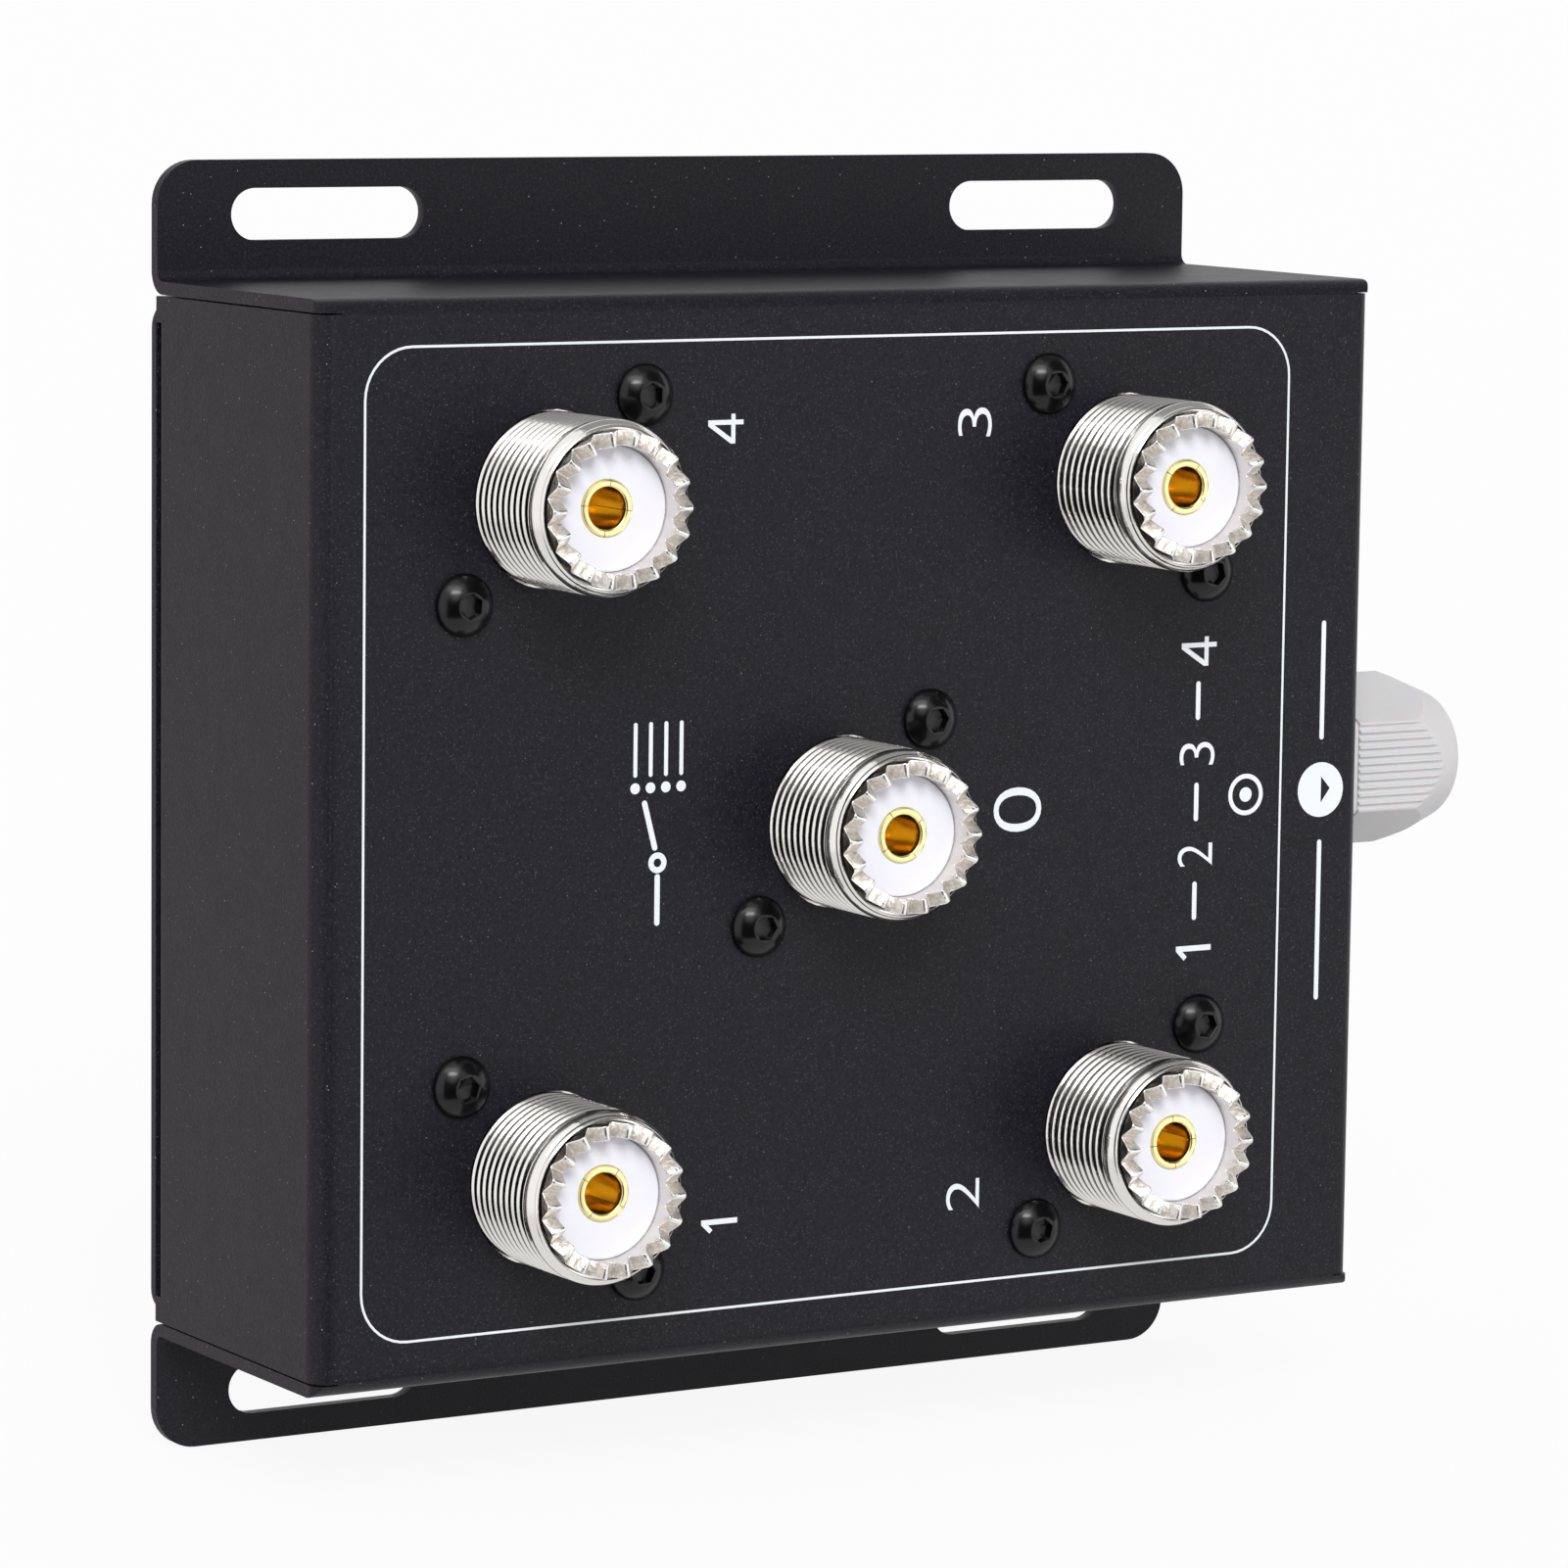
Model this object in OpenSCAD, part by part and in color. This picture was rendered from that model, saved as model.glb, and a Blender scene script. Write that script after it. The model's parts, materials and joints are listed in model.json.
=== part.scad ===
// Remote coaxial antenna switch: a wall-mounted box with five coaxial
// sockets, four relays inside and a cable gland for the control cable.
// X runs right along the front panel, Z up, and Y back to the wall, so the
// mounting plane is Y = 0 and the front panel faces -Y. The origin is the
// centre of the four mounting slots.

/* [Box] */
// Width of the box across the front panel
box_w = 113; // [110:1:140]
// Height of the box between the outer faces of the top and bottom walls
box_h = 98; // [94:1:130]
// Depth from the mounting plane to the front panel's outer face
box_d = 34; // [33:0.5:50]
// Thickness of the folded sheet
sheet_t = 1.2; // [1:0.1:1.5]
// Inside radius of the folds
fold_r = 1; // [0.6:0.1:1.5]
// Gap at the seams between the side walls and the top and bottom walls
seam_gap = 0.15; // [0.1:0.05:0.3]
// Radius of the front folds' ends, seen from above
lip_corner_r = 1.6; // [0.8:0.1:2]

/* [Mounting flanges] */
// Height of each flange above or below the box
flange_h = 11; // [10:0.5:16]
// Radius of the flanges' outer corners
flange_corner_r = 4; // [1:0.5:5]
// Length of a mounting slot from end to end
slot_l = 20; // [8:1:24]
// Width of a mounting slot
slot_w = 4.8; // [4.2:0.1:6]
// Distance from a slot's centre to the flange's outer edge
slot_edge = 5; // [4.5:0.5:6]
// Distance from a slot's centre to the end of the flange
slot_inset = 17.5; // [15:0.5:30]

/* [Rear cover] */
// Thickness of the rear cover
cover_t = 1; // [1:0.1:1.5]
// Radius of the rear cover's corners
cover_corner_r = 2.8; // [1:0.2:4]
// Gap between the rear cover and the top and bottom walls
cover_gap = 0.2; // [0.1:0.05:0.5]
// Width of the flange that each side wall turns in under the cover
return_w = 10; // [9:0.5:12]
// Inside radius of that flange's fold
return_fold_r = 0.2; // [0.1:0.1:0.6]
// Height of the unfolded stub at each end of a side wall's rear edge
stub_h = 2.4; // [1:0.2:5]
// Distance from a cover screw to the side of the box
cover_screw_side = 5.6; // [5:0.1:6]
// Distance from a cover screw to the top or bottom of the box
cover_screw_end = 12; // [9:0.5:20]

/* [Socket layout] */
// Centre of the socket pattern, to the right of the box's centre
layout_x = -2.3; // [-3:0.1:1]
// Distance between neighbouring antenna sockets, across and up
socket_pitch = 61.6; // [58:0.2:64]

/* [Coaxial socket] */
// Outside diameter of the coupling thread
thread_d = 15.875; // [15.5:0.005:16]
// Length of thread in front of the panel
thread_l = 10; // [8:0.1:14]
// Diameter of the plain shoulder that passes through the panel
shoulder_d = 15.4; // [15:0.1:15.5]
// Length of the bevelled rim beyond the thread
rim_l = 1.2; // [0.6:0.1:1.6]
// Diameter of the rim's front edge
rim_d = 14.9; // [14.5:0.1:15.2]
// Outside diameter of the toothed crown
crown_d = 14.1; // [13.8:0.1:14.4]
// Bore of the crown, which holds the insulator
crown_bore_d = 11.3; // [11.2:0.1:11.8]
// Height of the crown beyond the rim
crown_h = 1.5; // [1.4:0.1:2.4]
// Number of teeth on the crown
crown_teeth = 18; // [12:1:18]
// Depth of the notches between the teeth
notch_depth = 1.3; // [0.6:0.05:1.35]
// Width of a notch at the teeth's tips
notch_w = 1.85; // [1.2:0.05:1.9]
// Depth of the insulator's face behind the teeth's tips
insulator_recess = 2.3; // [2:0.1:4]
// Thickness of the insulator's wide front part
insulator_front_l = 4.4; // [2:0.1:5]
// Diameter of the insulator's narrow part
insulator_core_d = 9.2; // [8:0.1:10]
// Diameter of the centre contact
contact_d = 5.15; // [4.8:0.05:5.4]
// Bore of the centre contact
contact_bore_d = 4; // [3.9:0.05:4.1]
// Depth of the centre contact's bore
contact_bore_l = 9.5; // [8:0.1:11]
// Height of the contact's rim in front of the insulator
contact_proud = 0.1; // [0.1:0.1:0.8]
// Width of the slits that let the contact spring
slit_w = 0.2; // [0.15:0.05:0.6]
// Length of the slits
slit_l = 6; // [4:0.1:7]
// Diameter of the contact's rear pin, soldered to the board
pin_d = 3.4; // [3:0.1:3.6]
// Length of the rear pin beyond the board
pin_proud = 1; // [0.5:0.1:2]
// Width and height of the socket's square flange
socket_flange_w = 25.4; // [24.6:0.1:27]
// Thickness of the socket's flange
socket_flange_t = 1.6; // [1.2:0.1:2]
// Distance between the flange's holes, across and up
hole_pitch = 18.26; // [17.8:0.02:18.6]
// Diameter of the boss behind the flange
boss_d = 12.6; // [12:0.1:13.4]
// Length of the boss behind the flange
boss_l = 1.4; // [0.8:0.1:2]

/* [Fasteners] */
// Thread diameter of all the screws
screw_d = 3; // [2.9:0.05:3.1]
// Diameter of the clearance holes in the panel, flanges, cover and board
clear_d = 3.4; // [3.3:0.05:3.6]
// Radial gap between a screw's thread and what it screws into
thread_gap = 0.05; // [0.02:0.01:0.1]
// Diameter of the button heads
head_d = 5.7; // [5.2:0.1:6]
// Height of the button heads
head_h = 1.65; // [1.4:0.05:1.9]
// Radius of the button heads' dome
head_round = 3.7; // [3.4:0.1:6]
// Hexagon key size of the heads, across flats
key_af = 2; // [1.5:0.1:2.2]
// Depth of the key sockets
key_depth = 1; // [0.6:0.1:1.2]
// Length of the socket screws under the head
socket_screw_l = 8; // [7:0.5:8]
// Width of the nuts and standoffs across flats
nut_af = 5.5; // [5:0.1:5.6]
// Height of the nuts
nut_h = 2.4; // [2:0.1:2.6]
// Length of the cover screws
cover_screw_l = 6; // [4:0.5:8]
// Diameter of the countersunk cover screw heads
flat_head_d = 5; // [4.6:0.1:5.2]

/* [Circuit board] */
// Length of the standoffs that carry the board
standoff_l = 9; // [9:0.5:12]
// Thickness of the board
board_t = 1.6; // [1.2:0.1:2]
// Board edge beyond the antenna sockets' centres at each side
board_side = 14.2; // [12.5:0.1:15]
// Board edge beyond the antenna sockets' centres at top and bottom
board_end = 7.2; // [5:0.1:10]
// Length of the board screws under the head
board_screw_l = 5; // [4:0.5:5]

/* [Relays] */
// Length of a relay, across the box
relay_l = 19; // [18.6:0.1:20]
// Width of a relay, up the box
relay_w = 15.5; // [15:0.1:16]
// Height of a relay above the board
relay_h = 15.3; // [15:0.1:17]
// Wall thickness of the relay's case
case_t = 0.8; // [0.6:0.1:0.9]
// Thickness of the relay's base
base_t = 1.6; // [1.2:0.1:2]
// Thickness of the yoke and of the armature
iron_t = 1; // [0.8:0.1:1.2]
// Outside diameter of the coil's flanges
coil_d = 9.4; // [8:0.1:10]
// Length of the coil between the yoke and the pole
coil_l = 7.6; // [6:0.1:8]
// Diameter of the core
core_d = 3.4; // [3:0.1:3.6]
// Diameter of the pole face
pole_d = 5; // [4.5:0.1:5.5]
// Thickness of the pole face
pole_t = 0.6; // [0.5:0.1:0.8]
// Air gap between the pole face and the released armature
air_gap = 0.5; // [0.5:0.05:0.6]
// Closing angle of the armature
close_deg = 3; // [2:0.1:3]
// Diameter of the contact rivets
rivet_d = 2; // [1.5:0.1:2.5]
// Gap left between contact faces that touch
touch_gap = 0.03; // [0.02:0.01:0.05]
// Thickness of the contact springs
leaf_t = 0.3; // [0.2:0.05:0.4]

/* [Terminals and parts on the board] */
// Number of terminals for the control cable
ways = 5; // [3:1:6]
// Distance between terminals
way_pitch = 5; // [4.5:0.1:5.1]
// Depth of the terminal block across the board
block_d = 8; // [7:0.1:9]
// Height of the terminal block above the board
block_h = 10; // [9:0.1:12]
// Distance from the terminal block to the board's right edge
block_inset = 1; // [0.5:0.1:1.5]
// Diameter of a diode's body
diode_d = 2.7; // [2:0.1:3]
// Length of a diode's body
diode_l = 5.2; // [4:0.1:6]
// Diameter of a capacitor's disc
disc_d = 5; // [4:0.1:6]
// Thickness of a capacitor's disc
disc_t = 2; // [1.5:0.1:2.5]
// Diameter of the component leads
lead_d = 0.8; // [0.6:0.05:0.9]

/* [Cable gland] */
// Height of the gland's axis above the box's centre
gland_z = 0.5; // [-10:0.5:10]
// Distance from the mounting plane to the gland's axis
gland_y = 17; // [16:0.5:18]
// Diameter of the thread through the wall and under the dome nut
gland_thread_d = 12.5; // [12:0.1:12.7]
// Width of the body and dome nut across flats
gland_af = 15; // [14.6:0.1:16]
// Thickness of the gasket against the wall
gasket_t = 1; // [0.8:0.1:1.5]
// Height of the body's hexagon
gland_hex_l = 5.2; // [4:0.1:6]
// Length of the thread inside the box
gland_inner_l = 8; // [7:0.5:9]
// Length of the thread under the dome nut
gland_outer_l = 7; // [6.5:0.1:8]
// Bore of the gland's body
gland_bore_d = 7.8; // [7:0.1:8]
// Diameter of the seat that holds the seal
seal_seat_d = 9.8; // [9.4:0.1:10]
// Bore of the seal, which grips the cable
seal_bore_d = 6.4; // [5:0.1:6.6]
// Length of the seal
seal_l = 6.4; // [5:0.1:6.4]
// Length of the dome nut
dome_l = 13.8; // [13:0.1:15]
// Opening in the end of the dome nut
dome_hole_d = 7; // [6.8:0.1:7.4]
// Radial gap between the dome nut and the thread under it
dome_gap = 0.1; // [0.05:0.01:0.15]
// Number of flutes on each fluted face of the dome nut
flutes = 11; // [7:2:13]
// Radius of a flute
flute_r = 0.3; // [0.15:0.05:0.35]
// Width of the lock nut across flats
locknut_af = 17; // [16:0.1:18]
// Thickness of the lock nut
locknut_t = 4.5; // [3:0.1:5]

/* [Hidden] */
$fn = 64;
// How far pieces of one solid reach into each other
overlap = 0.01;
// How far a cutting shape runs past what it cuts
cut = 1;

half_w = box_w / 2;
half_h = box_h / 2;
fold_out = fold_r + sheet_t;
front_y = -box_d;
panel_back_y = front_y + sheet_t;
side_half_h = half_h - sheet_t - seam_gap;
slot_x = half_w - slot_inset;
slot_z = half_h + flange_h - slot_edge;
cover_half_h = half_h - sheet_t - cover_gap;
return_fold_out = return_fold_r + sheet_t;
return_start_y = -cover_t - return_fold_out;
// How far the cover screws' heads lie below the cover's face
head_sink = 0.05;
// Radial gap between the front panel and a socket's thread
panel_gap = 0.15;
// Radial gap between pieces that slide into each other
fit_gap = 0.05;
cover_screw_x = half_w - cover_screw_side;
cover_screw_z = half_h - cover_screw_end;

// Sockets: name, column (-1 left, 1 right), row, and the side on which the
// upper of its two diagonal screws lies
FEED = 4;
SOCKETS = [
    [-1, -1, -1],
    [1, -1, 1],
    [1, 1, -1],
    [-1, 1, 1],
    [0, 0, 1],
];
function socket_x(i) = layout_x + SOCKETS[i][0] * socket_pitch / 2;
function socket_z(i) = SOCKETS[i][1] * socket_pitch / 2;
hole_half = hole_pitch / 2;
// The two diagonal screws of socket i
function screw_x(i, s) = socket_x(i) + s * SOCKETS[i][2] * hole_half;
function screw_z(i, s) = socket_z(i) + s * hole_half;
// A screw beside the board's edge carries a standoff, and the others a nut
function carries_board(i, s) = i != FEED && s * SOCKETS[i][1] < 0;

shell_flange_back_y = panel_back_y + socket_flange_t;
thread_front_y = front_y - thread_l;
rim_front_y = thread_front_y - rim_l;
crown_front_y = rim_front_y - crown_h;
insulator_front_y = crown_front_y + insulator_recess;
insulator_step_y = insulator_front_y + insulator_front_l;
// Length of the insulator behind the shell's boss
insulator_tail_l = 0.4;
insulator_back_y = shell_flange_back_y + boss_l + insulator_tail_l;
socket_corner_r = 1;
contact_front_y = insulator_front_y - contact_proud;
// Thickness of the floor of the contact's bore
contact_floor_t = 0.6;
contact_root_y = contact_front_y + contact_bore_l + contact_floor_t;

board_front_y = shell_flange_back_y + standoff_l;
board_back_y = board_front_y + board_t;
board_half_w = socket_pitch / 2 + board_side;
board_half_h = socket_pitch / 2 + board_end;
board_corner_r = 1.5;

// Relay heights, measured up from the board's rear face
RELAYS = [[-1, -1], [1, -1], [1, 1], [-1, 1]];
function relay_x(i) = layout_x + RELAYS[i][0] * socket_pitch / 4;
function relay_z(i) = RELAYS[i][1] * socket_pitch / 4;
// Length of the soldered pins from the board's rear face to their ends
pin_l = board_t + 1.2;
relay_pin_d = 0.9;
// Gap between the yoke and the relay's case, and between the coil and yoke
yoke_gap = 0.3;
yoke_w = relay_w / 2;
yoke_leg_x = relay_l / 2 - case_t - yoke_gap - iron_t;
pole_top = base_t + iron_t + coil_l + pole_t;
armature_low = pole_top + air_gap;
// Gap between the top of the yoke and the armature, which rocks on its edge
hinge_gap = 0.1;
yoke_top = armature_low - hinge_gap;
core_x = yoke_leg_x - coil_d / 2 - yoke_gap;
// Length of the yoke's foot and of the armature's plate beyond the core
yoke_foot_l = 0.6;
armature_end_l = 0.8;
// Depth of the winding below the bobbin's flanges, and the flanges' size
winding_inset = 0.5;
coil_cheek_t = 0.8;
coil_cheek_gap = 0.7;
coil_cheek_w = relay_w - 2 * (case_t + coil_cheek_gap);
hinge_x = yoke_leg_x + iron_t / 2;
rivet_t = 0.4;
// Gap between the contacts and the relay's case
contact_gap = 0.5;
contact_x = -relay_l / 2 + case_t + contact_gap + rivet_d / 2;
// Drop of the moving contact's far edge as the armature closes
contact_travel = (hinge_x - contact_x + rivet_d / 2) * sin(close_deg);
leaf_low = armature_low + iron_t;
leaf_w = 3;
// Length of the leaf beyond the rivet and its distance from the yoke's leg
leaf_end_l = 0.1;
leaf_root_inset = 1;
// The contact posts stand one either side of the leaf spring
post_w = 1.2;
post_gap = 0.6;
post_arm_t = 0.5;
post_x = contact_x - rivet_d / 2 + post_w / 2;
post_y = leaf_w / 2 + post_gap + post_w / 2;
POST_PINS = [[post_x, post_y], [post_x, -post_y]];
YOKE_PIN = [hinge_x, 0];
coil_pin_inset = 0.8;
coil_pin_y = coil_cheek_w / 2 - coil_pin_inset;
COIL_PINS = [[core_x, coil_pin_y], [core_x, -coil_pin_y]];
RELAY_PINS = concat(POST_PINS, [YOKE_PIN], COIL_PINS);

block_l = ways * way_pitch;
block_x = layout_x + board_half_w - block_inset - block_d / 2;
block_pin_x = -block_d / 2 + 1.5;
WAY_ROWS = [for (w = [0:ways - 1]) (w - (ways - 1) / 2) * way_pitch];
// Wire holes and screw wells of the terminal block, above the board
wire_hole_z = 3.5;
wire_hole_d = 3;
well_d = 3.4;
well_floor = 5.5;
terminal_screw_d = 2.1;
terminal_screw_low = wire_hole_z + wire_hole_d / 4;
terminal_head_h = 2;
driver_slot_w = 0.6;
// Distance from a diode's body to its bend, to the relay and to the board
diode_lead_l = 1.5;
diode_gap = 0.8;
diode_lift = 0.2;
diode_pin_x = diode_l / 2 + diode_lead_l;
function diode_z(i) = RELAYS[i][1] * (socket_pitch / 4 - relay_w / 2 - diode_gap - diode_d / 2);
// Height of the capacitors above the board
cap_lift = 0.6;
cap_x = (relay_x(1) + relay_l / 2 + block_x - block_d / 2) / 2;
cap_pin_x = disc_d / 4;
CAP_ROWS = [-1.5, -0.5, 0.5, 1.5];

gland_hex_x = half_w + gasket_t;
gland_top_x = gland_hex_x + gland_hex_l;
gland_thread_end_x = gland_top_x + gland_outer_l;
// Gap between the body's hexagon and the tightened dome nut
nut_stop_gap = 0.3;
dome_start_x = gland_top_x + nut_stop_gap;
dome_end_x = dome_start_x + dome_l;
// Length of the slit claws, which hold the front of the seal
claw_l = 4;
// Width of the slits between the claws, and the ring left below the slits
claw_gap = 0.8;
claw_root_l = 0.6;
seal_start_x = gland_thread_end_x - claw_l;
seal_end_x = seal_start_x + seal_l;
// Radial gap between the gland's thread and the wall, and round the seal
wall_gap = 0.1;
seal_gap = 0.2;
wall_hole_d = gland_thread_d + 2 * wall_gap;
// The hexagons' corners are turned down to this diameter
gland_corner_d = gland_af / cos(30) - 0.2;
gasket_d = gland_af - 0.6;
// Angle of the dome nut's cone to its axis, its length and end radius
dome_slope = 22;
dome_cone_l = 6.8;
dome_round = 2.4;

SOCKET_NAMES = ["1", "2", "3", "4", "feed"];

black_coat = [0.16, 0.16, 0.17];
nickel = [0.78, 0.77, 0.74];
ptfe = [0.93, 0.92, 0.96];
gold = [0.9, 0.68, 0.25];
black_oxide = [0.08, 0.08, 0.09];
nylon = [0.88, 0.88, 0.88];
zinc = [0.72, 0.73, 0.75];

// ---- Shared shapes ----

// A cylinder of diameter d along Y, from y0 to y1
module rod_y(d, y0, y1) {
    translate([0, y1, 0]) rotate([90, 0, 0]) cylinder(d = d, h = y1 - y0);
}

// A cylinder of diameter d along X, from x0 to x1
module rod_x(d, x0, x1) {
    translate([x0, 0, 0]) rotate([0, 90, 0]) cylinder(d = d, h = x1 - x0);
}

// A cone along Y, diameter d0 at y0 and d1 at y1
module cone_y(d0, d1, y0, y1) {
    translate([0, y1, 0]) rotate([90, 0, 0]) cylinder(d1 = d1, d2 = d0, h = y1 - y0);
}

// A hexagonal prism along Y, af across flats
module hex_y(af, y0, y1) {
    translate([0, y1, 0]) rotate([90, 0, 0]) cylinder(d = af / cos(30), h = y1 - y0, $fn = 6);
}

// A hexagonal prism along X with a corner at the top
module hex_x(af, x0, x1) {
    translate([x0, 0, 0]) rotate([0, 90, 0]) cylinder(d = af / cos(30), h = x1 - x0, $fn = 6);
}

// A rectangle with its four corners rounded
module rounded_rect(w, h, r) {
    union() {
        square([w - 2 * r, h], center = true);
        square([w, h - 2 * r], center = true);
        for (x = [-1, 1], y = [-1, 1])
            translate([x * (w / 2 - r), y * (h / 2 - r)]) circle(r = r);
    }
}

// A plate standing in the XZ plane, from y0 to y1
module plate_y(y0, y1) {
    translate([0, y1, 0]) rotate([90, 0, 0]) linear_extrude(height = y1 - y0) children();
}

// ---- Enclosure ----

// A quarter ring, filling the quadrant towards +x and +y
module quarter_ring(r_in, r_out) {
    intersection() {
        difference() {
            circle(r = r_out);
            circle(r = r_in);
        }
        square(r_out + cut);
    }
}

// Section of the front panel, top wall and top flange, drawn as [y, z]
module top_section() {
    fold_y = front_y + fold_out;
    fold_z = half_h - fold_out;
    // front panel, upper half
    translate([front_y, 0]) square([sheet_t, fold_z]);
    // front fold
    translate([fold_y, fold_z]) mirror([1, 0]) quarter_ring(fold_r, fold_out);
    // top wall
    translate([fold_y, half_h - sheet_t]) square([-fold_out - fold_y, sheet_t]);
    // rear fold, which turns outwards into the flange
    translate([-fold_out, half_h + fold_r]) mirror([0, 1]) quarter_ring(fold_r, fold_out);
    // flange
    translate([-sheet_t, half_h + fold_r]) square([sheet_t, flange_h - fold_r]);
}

// Outline of both flanges and the box, seen from the front
module flange_outline() {
    rounded_rect(box_w, box_h + 2 * flange_h, flange_corner_r);
}

// A round-ended slot
module slot_shape() {
    straight = slot_l - slot_w;
    square([straight, slot_w], center = true);
    for (s = [-1, 1]) translate([s * straight / 2, 0]) circle(d = slot_w);
}

// The strip seen from above as [x, y], with the round of its front folds' ends
module strip_plan() {
    round_w = box_w - 2 * lip_corner_r;
    translate([-half_w, front_y + lip_corner_r]) square([box_w, box_d - lip_corner_r + cut]);
    translate([-round_w / 2, front_y]) square([round_w, box_d]);
    for (s = [-1, 1]) translate([s * round_w / 2, front_y + lip_corner_r]) circle(r = lip_corner_r);
}

// Front panel, top and bottom walls and flanges: one strip, folded
module folded_strip() {
    intersection() {
        rotate([90, 0, 90]) linear_extrude(height = box_w, center = true) {
            top_section();
            mirror([0, 1]) top_section();
        }
        plate_y(front_y - cut, cut) flange_outline();
        linear_extrude(height = 2 * (half_h + flange_h + cut), center = true) strip_plan();
    }
}

// Sections of the right side wall, drawn as [x, y]: the part that runs its
// full height, the flange turned in under the cover, and the stubs past it
module side_front_section() {
    fold_x = half_w - fold_out;
    fold_y = front_y + fold_out;
    translate([fold_x - overlap, front_y]) square([2 * overlap, sheet_t]);
    translate([fold_x, fold_y]) mirror([0, 1]) quarter_ring(fold_r, fold_out);
    translate([half_w - sheet_t, fold_y - overlap])
        square([sheet_t, return_start_y - fold_y + 2 * overlap]);
}

module side_return_section() {
    translate([half_w - return_fold_out, return_start_y])
        quarter_ring(return_fold_r, return_fold_out);
    translate([half_w - return_w, -cover_t - sheet_t])
        square([return_w - return_fold_out + overlap, sheet_t]);
}

module side_wall() {
    return_half_h = side_half_h - stub_h;
    intersection() {
        union() {
            linear_extrude(height = 2 * side_half_h, center = true) side_front_section();
            linear_extrude(height = 2 * return_half_h, center = true) side_return_section();
            for (s = [-1, 1])
                translate([0, 0, s * (side_half_h - stub_h / 2)])
                    linear_extrude(height = stub_h, center = true)
                        translate([half_w - sheet_t, return_start_y])
                            square([sheet_t, -cover_t - return_start_y]);
        }
        // the front corners follow the round of the top and bottom folds
        rotate([90, 0, 90]) linear_extrude(height = box_w + cut, center = true) fold_envelope();
    }
}

// The box seen from the side as [y, z], with the round of its front folds
module fold_envelope() {
    round_h = box_h - 2 * fold_out;
    translate([front_y + fold_out, -half_h]) square([box_d - fold_out, box_h]);
    translate([front_y, -round_h / 2]) square([box_d, round_h]);
    for (s = [-1, 1]) translate([front_y + fold_out, s * round_h / 2]) circle(r = fold_out);
}

// What is cut from the strip's front corners, where the side folds take over
module side_fold_space() {
    for (s = [-1, 1])
        translate([s * (half_w - fold_out + box_w / 2), front_y + sheet_t, 0])
            cube([box_w, 2 * fold_out, 2 * (side_half_h + seam_gap)], center = true);
}

module enclosure() {
    color(black_coat) difference() {
        union() {
            difference() {
                folded_strip();
                side_fold_space();
            }
            side_wall();
            mirror([1, 0, 0]) side_wall();
        }
        for (i = [0:4]) {
            translate([socket_x(i), 0, socket_z(i)])
                rod_y(thread_d + 2 * panel_gap, front_y - cut, panel_back_y + cut);
            for (s = [-1, 1])
                translate([screw_x(i, s), 0, screw_z(i, s)])
                    rod_y(clear_d, front_y - cut, panel_back_y + cut);
        }
        for (x = [-1, 1], z = [-1, 1])
            translate([x * slot_x, 0, z * slot_z]) plate_y(-sheet_t - cut, cut) slot_shape();
        translate([0, -gland_y, gland_z]) rod_x(wall_hole_d, half_w - sheet_t - cut, half_w + cut);
        for (x = [-1, 1], z = [-1, 1])
            translate([x * cover_screw_x, 0, z * cover_screw_z])
                rod_y(screw_d + 2 * thread_gap, -cover_t - sheet_t - cut, -cover_t + cut);
    }
}

module rear_cover() {
    color(black_coat) difference() {
        plate_y(-cover_t, 0) rounded_rect(box_w, 2 * cover_half_h, cover_corner_r);
        for (x = [-1, 1], z = [-1, 1])
            translate([x * cover_screw_x, 0, z * cover_screw_z]) {
                rod_y(clear_d, -cover_t - cut, cut);
                cone_y(flat_head_d - 2 * (cover_t + cut), flat_head_d + 2 * cut, -cover_t - cut, cut);
            }
    }
}

module cover_screws() {
    color(black_oxide) for (x = [-1, 1], z = [-1, 1])
        translate([x * cover_screw_x, 0, z * cover_screw_z]) difference() {
            union() {
                rod_y(screw_d, -cover_screw_l, -head_sink);
                cone_y(screw_d, flat_head_d - 4 * head_sink,
                       (screw_d - flat_head_d) / 2 + head_sink, -head_sink);
            }
            hex_y(key_af, -key_depth, cut);
        }
}

// ---- Coaxial sockets ----

// A V notch, cut from the crown's tips along its radius
module crown_notch() {
    half = notch_w / 2 * (notch_depth + cut) / notch_depth;
    rotate([90, 0, 90]) linear_extrude(height = crown_d)
        polygon([[crown_front_y + notch_depth, 0],
                 [crown_front_y - cut, -half],
                 [crown_front_y - cut, half]]);
}

// The shell: square flange, barrel through the panel, rim and toothed crown
module socket_shell(i) {
    color(nickel) translate([socket_x(i), 0, socket_z(i)]) difference() {
        union() {
            plate_y(panel_back_y, shell_flange_back_y)
                rounded_rect(socket_flange_w, socket_flange_w, socket_corner_r);
            rod_y(boss_d, shell_flange_back_y - overlap, shell_flange_back_y + boss_l);
            rod_y(shoulder_d, front_y - overlap, panel_back_y + overlap);
            rod_y(thread_d, thread_front_y, front_y);
            cone_y(rim_d, thread_d, rim_front_y, thread_front_y);
            rod_y(crown_d, crown_front_y, rim_front_y + overlap);
        }
        rod_y(crown_bore_d, crown_front_y - cut, insulator_step_y);
        rod_y(insulator_core_d + 2 * fit_gap, insulator_step_y - cut, insulator_back_y);
        for (t = [0:crown_teeth - 1]) rotate([0, (t + 0.5) * 360 / crown_teeth, 0]) crown_notch();
        for (x = [-1, 1], z = [-1, 1])
            translate([x * hole_half, 0, z * hole_half])
                rod_y(clear_d, panel_back_y - cut, shell_flange_back_y + cut);
    }
}

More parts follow.
